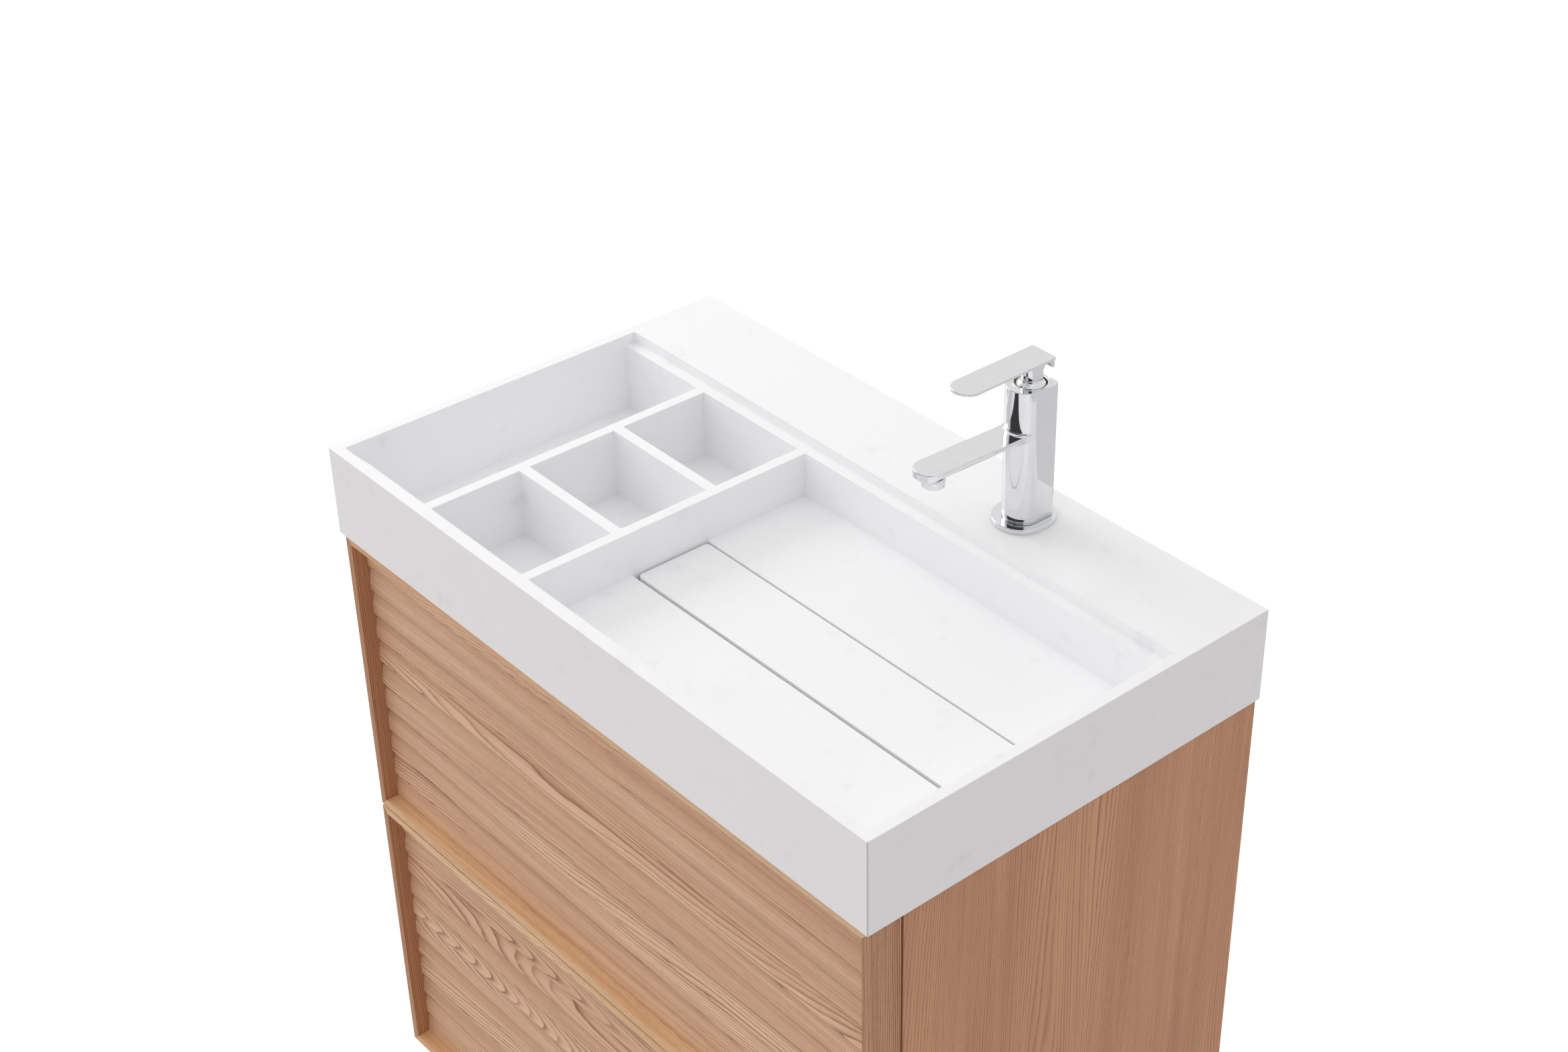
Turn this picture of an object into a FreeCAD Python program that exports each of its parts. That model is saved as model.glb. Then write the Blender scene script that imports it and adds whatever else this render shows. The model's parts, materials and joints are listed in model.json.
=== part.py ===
import FreeCAD, Part
import math
import os
import re

import Sketcher

# A vanity unit: a solid-surface basin slab with a tray, three cells and a trough basin, a
# single-lever tap, and an ash cabinet with two fluted drawers.
# Frame: millimetres, +X right, +Y towards the wall, +Z up, origin on the floor under the
# middle of the slab.

# ---------------------------------------------------------------- driving dimensions

DIMENSIONS = [
    # the slab
    ("width", 800, "slab, left to right"),
    ("depth", 480, "slab, front to wall"),
    ("rim_z", 850, "top of the slab above the floor"),
    ("slab", 100, "height of the slab's aprons"),
    ("ply", 12, "thickness of every solid-surface sheet"),
    ("joint_gap", 0.05, "glue line left between mitred aprons"),
    ("ledge_drop", 13, "inner walls and dividers below the rim"),
    ("deck_deep", 112, "tap deck, front edge to wall"),
    ("tray_wide", 119.5, "long tray inside its walls"),
    ("cell_wide", 149, "small cells, left to right"),
    ("bowl_deep", 62, "basin floor below the rim"),
    ("trough_end_gap", 5.5, "basin floor left at the right end of the trough"),
    ("trough_front", 117.8, "basin floor in front of the trough"),
    ("trough_wide", 89.2, "trough opening, front to back"),
    ("cover_long", 473, "drain cover, left to right"),
    ("cover_wide", 84.7, "drain cover, front to back"),
    ("cover_setback", 2.5, "slot in front of the drain cover"),
    ("cover_end_slot", 2.5, "slot at the left end of the drain cover"),
    ("cover_corner", 5, "drain cover corner radius"),
    ("cover_pad", 7, "radius of the pads under the cover"),
    # the waste
    ("waste_x", 146, "waste centre, from the slab's middle"),
    ("waste_y", -53, "waste centre, from the slab's middle"),
    ("waste_hole", 21, "radius of the hole in the trough bottom"),
    ("waste_rim", 31, "radius of the waste flange"),
    ("waste_neck", 20.5, "outer radius of the waste's threaded neck"),
    ("waste_neck_long", 34, "neck below the flange"),
    ("grid_hole", 3, "radius of the holes in the waste's grid"),
    ("grid_ring", 10, "radius of the circle of grid holes"),
    ("waste_nut", 29, "radius over the waste nut's corners"),
    ("waste_nut_high", 10, "height of the waste nut"),
    ("pipe_r", 16, "outer radius of the waste pipes"),
    ("pipe_wall", 1.5, "wall of the waste pipes"),
    ("pipe_neck", 15.5, "outer radius of the outlet pipe inside its nut"),
    ("trap_top_z", 690, "top of the bottle trap above the floor"),
    ("trap_high", 100, "bottle trap body"),
    ("trap_r", 32, "outer radius of the bottle trap"),
    ("trap_wall", 2.5, "wall of the bottle trap"),
    ("trap_lid", 4, "top of the bottle trap"),
    ("cup_wall", 3, "wall of the trap's cup"),
    ("cup_drop", 22, "depth of the cup below the trap's body"),
    ("cup_overlap", 14, "height of the cup's collar round the trap's body"),
    ("trap_outlet_z", 655, "outlet pipe centre above the floor"),
    ("dip_z", 612, "lower end of the pipe inside the trap"),
    ("slip_nut", 24, "radius of the slip nuts"),
    ("slip_nut_high", 17, "height of the slip nuts"),
    # the cabinet
    ("plinth_z", 50, "underside of the cabinet above the floor"),
    ("side_inset", 3, "cabinet sides inside the slab"),
    ("front_inset", 4, "drawer fronts behind the slab's face"),
    ("back_inset", 2, "cabinet back inside the slab"),
    ("board", 18, "carcass boards"),
    ("rail_wide", 60, "carcass cross rails, front to back"),
    ("back_rail_high", 60, "carcass back rails"),
    ("wall_hole", 4, "radius of the wall fixing holes"),
    ("wall_hole_x", 330, "wall fixing holes from the middle"),
    ("wall_plate", 3, "wall plate thickness"),
    ("wall_plate_wide", 50, "wall plates, left to right"),
    ("wall_plate_high", 44, "wall plates, top to bottom"),
    ("kick_x", 350, "toe kick, half length"),
    ("kick_setback", 60, "toe kick behind the slab's face"),
    ("kick_board", 15, "toe kick boards"),
    ("kick_lift", 3, "toe kick above the floor"),
    ("foot_x", 300, "feet from the middle"),
    ("foot_front_y", -140, "front feet"),
    ("foot_back_y", 200, "back feet"),
    ("foot_r", 24, "foot pad radius"),
    ("foot_pad", 8, "foot pad height"),
    ("foot_stem", 9, "foot stem radius"),
    # the drawer fronts
    ("front_deep", 36, "depth of the front's frame boards"),
    ("front_edge", 9, "thickness of the front's frame boards"),
    ("top_gap", 3, "gap between the slab and the upper front"),
    ("front_gap", 2, "gap between the two fronts"),
    ("seam", 2.5, "gap between the fronts and the cabinet sides"),
    ("recess", 15.5, "rib crests behind the frame's front edge"),
    ("rib_pitch", 30, "from one rib to the next"),
    ("rib_deep", 3, "depth of the flutes"),
    ("rib_slope", 22, "long upper side of a rib"),
    ("rib_roll", 7.2, "short lower side of a rib"),
    ("rib_start", 2.9, "lowest crest above the panel's lower edge"),
    ("rib_count", 11, "flutes in a panel"),
    # the drawer boxes
    ("box_board", 12, "drawer box sides and back"),
    ("box_base", 8, "drawer box base"),
    ("box_high", 250, "drawer box"),
    ("box_lift", 30, "drawer box above the front's lower edge"),
    ("box_long", 390, "drawer box, front to back"),
    ("box_clear", 13, "room for a slide between box and cabinet side"),
    ("base_lift", 10, "drawer base above the lower edge of the sides"),
    ("slot_x0", 71, "left side of the waste cut-out in the upper box"),
    ("slot_x1", 221, "right side of the waste cut-out in the upper box"),
    ("slot_y", -130, "front of the waste cut-out in the upper box"),
    # the slides
    ("slide_lift", 70, "slide centre above the box's lower edge"),
    ("slide_high", 45, "cabinet member of a slide"),
    ("slide_steel", 1.4, "slide section thickness"),
    ("slide_long", 400, "slide length"),
    ("slide_step", 2.5, "each inner member is this much lower, above and below"),
    # the tap
    ("tap_x", 146, "tap centre line"),
    ("tap_half", 19.5, "half the width of the tap body"),
    ("tap_front_y", 159.5, "front of the tap body"),
    ("tap_back_y", 204, "flat back of the tap body"),
    ("tap_high", 147, "top of the tap body above the deck"),
    ("tap_corner", 5, "radius of the tap body's back edges"),
    ("tap_axis_y", 185, "cartridge axis"),
    ("plate_r", 28.5, "radius of the tap's base plate ends"),
    ("plate_front_y", 150, "front of the base plate"),
    ("plate_back_y", 214.2, "back of the base plate"),
    ("plate_high", 5.5, "base plate thickness"),
    ("collar_high", 2, "collar under the tap body"),
    ("collar_inset", 1.5, "collar inside the tap body"),
    ("spout_tip_y", 45, "tip of the spout"),
    ("spout_half", 16, "half the width of the spout"),
    ("spout_thick", 12, "spout, top to underside"),
    ("spout_edge", 4.5, "upright edge along the spout's sides"),
    ("spout_nose", 8, "upright edge at the spout's tip"),
    ("spout_tip_z", 106.3, "top of the spout's tip above the deck"),
    ("spout_rise", 1.9, "rise of the spout in degrees"),
    ("aerator_y", 64.7, "aerator centre"),
    ("aerator_r", 11, "aerator housing radius"),
    ("aerator_z", 85.7, "lower face of the aerator above the deck"),
    ("aerator_high", 9.5, "aerator housing height"),
    ("aerator_wall", 1.6, "aerator housing wall"),
    ("jet_r", 0.9, "radius of the aerator's holes"),
    ("jet_ring", 5, "radius of the circle of holes"),
    ("waterway_r", 3, "radius of the passage along the spout"),
    ("waterway_drop", 7.5, "passage below the spout's top"),
    ("pivot_high", 135.5, "lift pivot of the lever above the deck"),
    ("dome_r", 17.3, "radius of the dome under the lever"),
    ("dome_cut", 10, "dome's lower face above the pivot"),
    ("ring_r", 18.3, "outer radius of the trim ring"),
    ("ring_hole", 15.5, "inner radius of the trim ring"),
    ("ring_high", 3, "trim ring height"),
    ("bore_r", 17.4, "upper bore of the tap body"),
    ("cartridge_r", 13, "cartridge radius"),
    ("cartridge_bore", 9.05, "bore of the cartridge"),
    ("cartridge_low", 40, "lower end of the cartridge below the pivot"),
    ("cartridge_top", 2, "upper end of the cartridge above the pivot"),
    ("carrier_r", 9, "radius of the turning carrier"),
    ("carrier_low", 16, "lower end of the carrier below the pivot"),
    ("carrier_slot", 7.8, "width of the carrier's slot"),
    ("stem", 7, "side of the square stem"),
    ("stem_low", 9, "lower end of the stem below the pivot"),
    ("stem_top", 22, "upper end of the stem above the pivot"),
    ("pivot_pin", 1.2, "radius of the pivot pin"),
    ("pin_clear", 0.05, "running clearance of the pivot pin"),
    ("lever_half", 15.5, "half the width of the lever"),
    ("lever_front_y", 89, "tip of the lever"),
    ("lever_back_y", 203, "back of the lever"),
    ("lever_top", 173, "top of the lever above the deck"),
    ("lever_thick", 3.2, "lever plate thickness"),
    ("lever_corner", 4, "radius of the lever's back corners"),
    ("lip_high", 12.5, "lip at the back of the lever"),
    ("lip_thick", 3, "thickness of the lever's lip"),
    ("neck_half", 9.5, "half the width of the lever's neck"),
    ("neck_back_y", 192, "back of the lever's neck"),
    ("gusset_high", 10, "gusset behind the neck"),
    ("screw_r", 2.5, "lever grub screw radius"),
    ("screw_z", 154, "lever grub screw above the deck"),
    ("deck_hole", 17.5, "radius of the tap hole in the deck"),
    ("deck_hole_y", 182, "tap hole centre"),
    ("stud_r", 4, "radius of the mounting stud"),
    ("stud_y", 190, "mounting stud"),
    ("stud_long", 75, "mounting stud length"),
    ("seat_deep", 15, "seats of the stud and inlets in the tap body"),
    ("inlet_r", 5, "radius of the inlet pipes"),
    ("inlet_bore", 2.5, "bore of the inlet pipes"),
    ("nipple_r", 6, "radius of the inlets' threaded ends"),
    ("nipple_long", 15, "length of the inlets' threaded ends"),
    ("inlet_dx", 9, "inlets from the tap's centre line"),
    ("inlet_y", 176, "inlets, front to back"),
    ("inlet_drop", 50, "lower end of the inlets below the deck's top"),
    ("washer_r", 24, "horseshoe washer radius"),
    ("washer_high", 3, "horseshoe washer thickness"),
    ("stud_nut", 7.5, "stud nut radius"),
    ("stud_nut_high", 7, "stud nut height"),
]

doc = FreeCAD.newDocument("vanity")
sizes = doc.addObject("Spreadsheet::Sheet", "sizes")
for row, (alias, value, meaning) in enumerate(DIMENSIONS, 1):
    sizes.set(f"A{row}", alias)
    sizes.set(f"B{row}", str(value))
    sizes.setAlias(f"B{row}", alias)
    sizes.set(f"C{row}", meaning)
doc.recompute()

ALIASES = {alias for alias, value, meaning in DIMENSIONS}

# ---------------------------------------------------------------- expressions used in many places

RIGHT = "(width / 2)"
BACK = "(depth / 2)"
INNER_X = f"({RIGHT} - ply)"                              # inner face of the side aprons
UNDER = "(rim_z - slab)"                                  # underside of the slab
LEDGE_Z = "(rim_z - ledge_drop)"                          # top of the dividers and ledges
WELL_Y0 = f"(-{BACK} + 2 * ply)"                          # front of the tray, cells and basin
WELL_Y1 = f"({BACK} - deck_deep - ply)"                   # back of the tray, cells and basin
CELL_X0 = f"(-{INNER_X} + tray_wide + ply)"
CELL_X1 = f"({CELL_X0} + cell_wide)"
BOWL_X0 = f"({CELL_X1} + ply)"
CELL_DEEP = f"(({WELL_Y1} - {WELL_Y0} - 2 * ply) / 3)"
BOWL_Z = "(rim_z - bowl_deep)"
FLOOR_Z = f"({UNDER} + ply)"
TROUGH_X1 = f"({INNER_X} - trough_end_gap)"
TROUGH_Y0 = f"({WELL_Y0} + trough_front)"
TROUGH_Y1 = f"({TROUGH_Y0} + trough_wide)"

CAB_X = f"({RIGHT} - side_inset)"                         # outer face of the cabinet sides
CAB_IN = f"({CAB_X} - board)"                             # inner face of the cabinet sides
CAB_BACK = f"({BACK} - back_inset)"
FRONT_Y = f"(-{BACK} + front_inset)"                      # front edge of the drawer fronts
FRONT_BACK = f"({FRONT_Y} + front_deep)"
SIDE_Y0 = f"({FRONT_BACK} + seam)"
FRONT_HIGH = f"(({UNDER} - plinth_z - top_gap - front_gap) / 2)"
LOWER_Z = "plinth_z"
UPPER_Z = f"(plinth_z + {FRONT_HIGH} + front_gap)"
PANEL_IN = f"({CAB_X} - front_edge)"
BOX_X = f"({CAB_IN} - box_clear)"

PIVOT_Z = "(rim_z + pivot_high)"
TAP_TOP = "(rim_z + tap_high)"
TAP_LOW = "(rim_z + plate_high + collar_high)"
SEAT_TOP = f"({TAP_LOW} + seat_deep)"                      # end of the stud and inlets in the body
LEVER_Z = "(rim_z + lever_top)"
WALL_Z = f"({UNDER} - back_rail_high / 2)"


def cells(expression):
    """The expression with every dimension name turned into its cell."""
    return re.sub(r"[a-z][a-z_0-9]*", lambda m: "sizes." + m[0] if m[0] in ALIASES else m[0],
                  expression)


def number(expression):
    """The expression's value now."""
    return float(sizes.evalExpression(cells(expression)))


# ---------------------------------------------------------------- shared builders

PARTS = []


def piece(label, solid):
    """Make the object a sub-part: its label names its file."""
    solid.Label = label
    PARTS.append(solid)
    return solid


def place(solid, x="0", y="0", z="0", axis=None, angle=None):
    """Bind a placement's position, and turn the solid about an axis."""
    if axis:
        solid.Placement = FreeCAD.Placement(FreeCAD.Vector(), FreeCAD.Rotation(axis, angle))
    for name, expression in (("x", x), ("y", y), ("z", z)):
        solid.setExpression(f".Placement.Base.{name}", cells(expression))
    return solid


def block(name, x, y, z):
    """A box between two corners, each side given as a pair of expressions."""
    box = doc.addObject("Part::Box", name)
    for side, (low, high) in (("Length", x), ("Width", y), ("Height", z)):
        box.setExpression(side, cells(f"({high}) - ({low})"))
    return place(box, x[0], y[0], z[0])


def round_bar(name, radius, x, y, z):
    """A cylinder along +Z between two heights."""
    bar = doc.addObject("Part::Cylinder", name)
    bar.setExpression("Radius", cells(radius))
    bar.setExpression("Height", cells(f"({z[1]}) - ({z[0]})"))
    return place(bar, x, y, z[0])


def round_bar_y(name, radius, x, y, z):
    """A cylinder along +Y between two depths."""
    bar = doc.addObject("Part::Cylinder", name)
    bar.setExpression("Radius", cells(radius))
    bar.setExpression("Height", cells(f"({y[1]}) - ({y[0]})"))
    return place(bar, x, y[0], z, FreeCAD.Vector(1, 0, 0), -90)


def round_bar_x(name, radius, x, y, z):
    """A cylinder along +X between two sides."""
    bar = doc.addObject("Part::Cylinder", name)
    bar.setExpression("Radius", cells(radius))
    bar.setExpression("Height", cells(f"({x[1]}) - ({x[0]})"))
    return place(bar, x[0], y, z, FreeCAD.Vector(0, 1, 0), 90)


def hexagon(name, radius, x, y, z):
    """A six-sided nut blank along +Z."""
    prism = doc.addObject("Part::Prism", name)
    prism.Polygon = 6
    prism.setExpression("Circumradius", cells(radius))
    prism.setExpression("Height", cells(f"({z[1]}) - ({z[0]})"))
    return place(prism, x, y, z[0])


def fused(name, *solids):
    union = doc.addObject("Part::MultiFuse", name)
    union.Shapes = list(solids)
    union.Refine = True
    return union


def common(name, *solids):
    overlap = doc.addObject("Part::MultiCommon", name)
    overlap.Shapes = list(solids)
    return overlap


def cut(name, base, *tools):
    """The base without the tools."""
    hole = doc.addObject("Part::Cut", name)
    hole.Base = base
    hole.Tool = tools[0] if len(tools) == 1 else fused(name + "_tools", *tools)
    return hole


def group(name, *solids):
    """Separate solids that share one node."""
    compound = doc.addObject("Part::Compound", name)
    compound.Links = list(solids)
    return compound


def mirrored(name, source):
    """The source's mirror image across the middle of the vanity."""
    image = doc.addObject("Part::Mirroring", name)
    image.Source = source
    image.Normal = FreeCAD.Vector(1, 0, 0)
    return image


def tube(name, radius, bore, x, y, z):
    """A hollow cylinder along +Z."""
    return cut(name, round_bar(name + "_outside", radius, x, y, z),
               round_bar(name + "_bore", bore, x, y, z))


def rounded(name, base, radius, choose):
    """Fillet the base's edges that the choose function picks."""
    doc.recompute()
    fillet = doc.addObject("Part::Fillet", name)
    fillet.Base = base
    fillet.Edges = [(i, number(radius), number(radius))
                    for i, edge in enumerate(base.Shape.Edges, 1) if choose(edge)]
    return fillet


def tongue(name, half, x, y, z):
    """A flat bar with a half-round front end: half its width, then its two ends."""
    nose = f"({y[0]} + {half})"
    return fused(name, round_bar(name + "_nose", half, x, nose, z),
                 block(name + "_bar", (f"{x} - {half}", f"{x} + {half}"), (nose, y[1]), z))


def origin_feature(body, role):
    return next(f for f in body.Origin.OriginFeatures if f.Role == role)


def sketch_on(body, name, plane):
    sketch = body.newObject("Sketcher::SketchObject", name)
    sketch.AttachmentSupport = (origin_feature(body, plane), "")
    sketch.MapMode = "FlatFace"
    return sketch


def draw_outline(sketch, points):
    """A closed outline of straight lines whose corners are bound to the sheet."""
    corners = [FreeCAD.Vector(number(u), number(v), 0) for u, v in points]
    last = len(points)
    for i in range(last):
        sketch.addGeometry(Part.LineSegment(corners[i], corners[(i + 1) % last]))
    for i in range(last):
        sketch.addConstraint(Sketcher.Constraint("Coincident", i, 2, (i + 1) % last, 1))
    for i, corner in enumerate(points):
        for side, expression in zip("XY", corner):
            at = sketch.addConstraint(
                Sketcher.Constraint("Distance" + side, -1, 1, i, 1, number(expression)))
            sketch.renameConstraint(at, f"{side.lower()}{i}")
            sketch.setExpression(f"Constraints.{side.lower()}{i}", cells(expression))


def extruded(name, plane, points, length, reverse=False):
    """A body padded from an outline on one of its own planes."""
    body = doc.addObject("PartDesign::Body", name)
    sketch = sketch_on(body, name + "_outline", plane)
    draw_outline(sketch, points)
    pad = body.newObject("PartDesign::Pad", name + "_pad")
    pad.Profile = sketch
    pad.Reversed = reverse
    pad.setExpression("Length", cells(length))
    return body


# ---------------------------------------------------------------- the solid-surface slab


def aprons():
    """Four aprons, mitred at the slab's corners."""
    along = [("0", "0"), ("width", "0"), ("width - ply - joint_gap", "ply"),
             ("ply + joint_gap", "ply")]
    front = extruded("front_apron", "XY_Plane", along, "slab")
    piece("front_apron", place(front, f"-{RIGHT}", f"-{BACK}", UNDER))
    left_side = [("0", "0"), ("ply", "ply + joint_gap"), ("ply", "depth - ply - joint_gap"),
                 ("0", "depth")]
    left = extruded("left_apron", "XY_Plane", left_side, "slab")
    piece("left_apron", place(left, f"-{RIGHT}", f"-{BACK}", UNDER))
    right_side = [("0", "ply + joint_gap"), ("ply", "0"), ("ply", "depth"),
                  ("0", "depth - ply - joint_gap")]
    right = extruded("right_apron", "XY_Plane", right_side, "slab")
    piece("right_apron", place(right, INNER_X, f"-{BACK}", UNDER))
    behind = [("0", "ply"), ("ply + joint_gap", "0"), ("width - ply - joint_gap", "0"),
              ("width", "ply")]
    back = extruded("back_apron", "XY_Plane", behind, "slab")
    piece("back_apron", place(back, f"-{RIGHT}", f"{BACK} - ply", UNDER))


def inner_walls():
    """The doubled front wall, the wall under the deck's edge, and the dividers."""
    walls = (FLOOR_Z, LEDGE_Z)
    piece("front_inner_wall", block("front_inner_wall", (f"-{INNER_X}", INNER_X),
                                    (f"-{BACK} + ply", WELL_Y0), walls))
    lower = block("back_wall_lower", (f"-{INNER_X}", INNER_X), (WELL_Y1, f"{WELL_Y1} + ply"),
                  walls)
    bearer = block("back_wall_bearer", (f"-{INNER_X}", INNER_X),
                   (f"{WELL_Y1} + ply", f"{WELL_Y1} + 2 * ply"), (FLOOR_Z, "rim_z - ply"))
    piece("back_inner_wall", fused("back_inner_wall", lower, bearer))
    reach = (WELL_Y0, WELL_Y1)
    piece("long_dividers", group(
        "long_dividers",
        block("tray_divider", (f"{CELL_X0} - ply", CELL_X0), reach, walls),
        block("basin_divider", (CELL_X1, BOWL_X0), reach, walls)))
    first = f"({WELL_Y0} + {CELL_DEEP})"
    second = f"({first} + ply + {CELL_DEEP})"
    piece("cell_dividers", group(
        "cell_dividers",
        block("front_cell_divider", (CELL_X0, CELL_X1), (first, f"{first} + ply"), walls),
        block("rear_cell_divider", (CELL_X0, CELL_X1), (second, f"{second} + ply"), walls)))


def sheets():
    """The tap deck, the tray's floor, the basin floor with its slot, and the trough."""
    deck = block("deck_sheet", (f"-{INNER_X}", INNER_X), (f"{BACK} - deck_deep", f"{BACK} - ply"),
                 ("rim_z - ply", "rim_z"))
    tap_hole = round_bar("deck_tap_hole", "deck_hole", "tap_x", "deck_hole_y",
                         ("rim_z - 2 * ply", "rim_z + ply"))
    piece("tap_deck", cut("tap_deck", deck, tap_hole))
    piece("tray_floor", block("tray_floor", (f"-{INNER_X}", BOWL_X0),
                              (f"-{BACK} + ply", f"{WELL_Y1} + 2 * ply"), (UNDER, FLOOR_Z)))
    floor = block("basin_floor_sheet", (BOWL_X0, INNER_X), (WELL_Y0, WELL_Y1),
                  (f"{BOWL_Z} - ply", BOWL_Z))
    slot = block("basin_floor_slot", (BOWL_X0, TROUGH_X1), (TROUGH_Y0, TROUGH_Y1),
                 (f"{BOWL_Z} - 2 * ply", f"{BOWL_Z} + ply"))
    piece("basin_floor", cut("basin_floor", floor, slot))
    under = (FLOOR_Z, f"{BOWL_Z} - ply")
    piece("trough_walls", group(
        "trough_walls",
        block("trough_front_wall", (BOWL_X0, TROUGH_X1), (f"{TROUGH_Y0} - ply", TROUGH_Y0), under),
        block("trough_rear_wall", (BOWL_X0, TROUGH_X1), (TROUGH_Y1, f"{TROUGH_Y1} + ply"), under),
        block("trough_right_wall", (TROUGH_X1, INNER_X), (f"{TROUGH_Y0} - ply", f"{TROUGH_Y1} + ply"),
              under)))
    bottom = block("trough_bottom_sheet", (BOWL_X0, INNER_X),
                   (f"{TROUGH_Y0} - ply", f"{TROUGH_Y1} + ply"), (UNDER, FLOOR_Z))
    hole = round_bar("trough_waste_hole", "waste_hole", "waste_x", "waste_y",
                     (f"{UNDER} - ply", f"{FLOOR_Z} + ply"))
    piece("trough_bottom", cut("trough_bottom", bottom, hole))


def drain_cover():
    """The loose cover that lies flush in the trough, on six pads."""
    x0 = f"({BOWL_X0} + cover_end_slot)"
    y0 = f"({TROUGH_Y0} + cover_setback)"
    plate = block("cover_plate", (x0, f"{x0} + cover_long"), (y0, f"{y0} + cover_wide"),
                  (f"{BOWL_Z} - ply", BOWL_Z))
    upright = rounded("drain_cover", plate, "cover_corner",
                      lambda edge: abs(edge.BoundBox.ZLength) > 1)
    piece("drain_cover", upright)
    pads = []
    for column, share in enumerate(("0.1", "0.5", "0.9")):
        for rank, across in enumerate(("0.2", "0.8")):
            away = "+ waste_rim * 2" if share == "0.5" else ""
            pads.append(round_bar(f"cover_pad_{column}{rank}", "cover_pad",
                                  f"{x0} + cover_long * {share} {away}",
                                  f"{y0} + cover_wide * {across}", (FLOOR_Z, f"{BOWL_Z} - ply")))
    piece("cover_pads", group("cover_pads", *pads))


# ---------------------------------------------------------------- the waste and its trap


def waste():
    """A grid waste in the trough's bottom, its nut, and a bottle trap to the wall."""
    at = ("waste_x", "waste_y")
    neck_low = f"({FLOOR_Z} - waste_neck_long)"
    rim = round_bar("waste_flange_rim", "waste_rim", *at, (FLOOR_Z, f"{FLOOR_Z} + 2"))
    neck = round_bar("waste_flange_neck", "waste_neck", *at, (neck_low, FLOOR_Z))
    bore = round_bar("waste_flange_bore", "pipe_r", *at, (f"{neck_low} - 1", f"{FLOOR_Z} - 1"))
    through = (f"{FLOOR_Z} - 2", f"{FLOOR_Z} + 3")
    holes = [bore, round_bar("grid_hole_middle", "grid_hole", *at, through)]
    for turn in range(8):
        holes.append(round_bar(f"grid_hole_{turn}", "grid_hole",
                               f"waste_x + grid_ring * cos({turn * 45})",
                               f"waste_y + grid_ring * sin({turn * 45})", through))
    piece("waste_flange", cut("waste_flange", fused("waste_flange_blank", rim, neck), *holes))
    nut = hexagon("waste_nut_blank", "waste_nut", *at, (f"{UNDER} - waste_nut_high", UNDER))
    nut_bore = round_bar("waste_nut_bore", "waste_neck", *at,
                         (f"{UNDER} - waste_nut_high - 1", f"{UNDER} + 1"))
    waste_nut = cut("waste_nut_body", nut, nut_bore)

    dip = tube("trap_dip_pipe", "pipe_r", "pipe_r - pipe_wall", *at, ("dip_z", f"{neck_low} + 8"))
    bottle = round_bar("trap_bottle_blank", "trap_r", *at, ("trap_top_z - trap_high", "trap_top_z"))
    hollow = round_bar("trap_hollow", "trap_r - trap_wall", *at,
                       ("trap_top_z - trap_high - 1", "trap_top_z - trap_lid"))
    dip_hole = round_bar("trap_dip_hole", "pipe_r", *at, ("trap_top_z - 6", "trap_top_z + 1"))
    out_hole = round_bar_y("trap_out_hole", "pipe_neck", "waste_x",
                           ("waste_y", "waste_y + trap_r + 1"), "trap_outlet_z")
    piece("trap_bottle", cut("trap_bottle", bottle, hollow, dip_hole, out_hole))
    body_low = "(trap_top_z - trap_high)"
    cup_low = f"({body_low} - cup_drop)"
    cup = round_bar("trap_cup_blank", "trap_r + cup_wall", *at, (cup_low, f"{body_low} + cup_overlap"))
    cup_hollow = round_bar("trap_cup_hollow", "trap_r - trap_wall", *at,
                           (f"{cup_low} + cup_wall", body_low))
    cup_seat = round_bar("trap_cup_seat", "trap_r", *at, (body_low, f"{body_low} + cup_overlap + 1"))
    piece("trap_cup", cut("trap_cup", cup, cup_hollow, cup_seat))
    outlet_y0, nut_y0 = "(waste_y + trap_r - 2)", "(waste_y + trap_r + 0.5)"
    side = (nut_y0, f"{nut_y0} + slip_nut_high")
    outlet = fused("trap_outlet_blank",
                   round_bar_y("trap_outlet_neck", "pipe_neck", "waste_x", (outlet_y0, side[1]),
                               "trap_outlet_z"),
                   round_bar_y("trap_outlet_spigot", "pipe_r", "waste_x", (side[1], CAB_BACK),
                               "trap_outlet_z"))
    outlet_bore = round_bar_y("trap_outlet_bore", "pipe_r - pipe_wall", "waste_x",
                              (f"{outlet_y0} - 1", f"{CAB_BACK} + 1"), "trap_outlet_z")
    piece("trap_pipes", group("trap_pipes", dip, cut("trap_outlet_pipe", outlet, outlet_bore)))
    nuts = [tube("slip_nut_neck", "slip_nut", "pipe_r", *at,
                 (f"{neck_low} - slip_nut_high", neck_low)),
            tube("slip_nut_bottle", "slip_nut", "pipe_r", *at,
                 ("trap_top_z", "trap_top_z + slip_nut_high"))]
    nuts.append(cut("slip_nut_outlet",
                    round_bar_y("slip_nut_outlet_blank", "slip_nut", "waste_x", side,
                                "trap_outlet_z"),
                    round_bar_y("slip_nut_outlet_bore", "pipe_neck", "waste_x", side,
                                "trap_outlet_z")))
    piece("waste_nuts", group("waste_nuts", waste_nut, *nuts))


# ---------------------------------------------------------------- the cabinet


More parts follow.
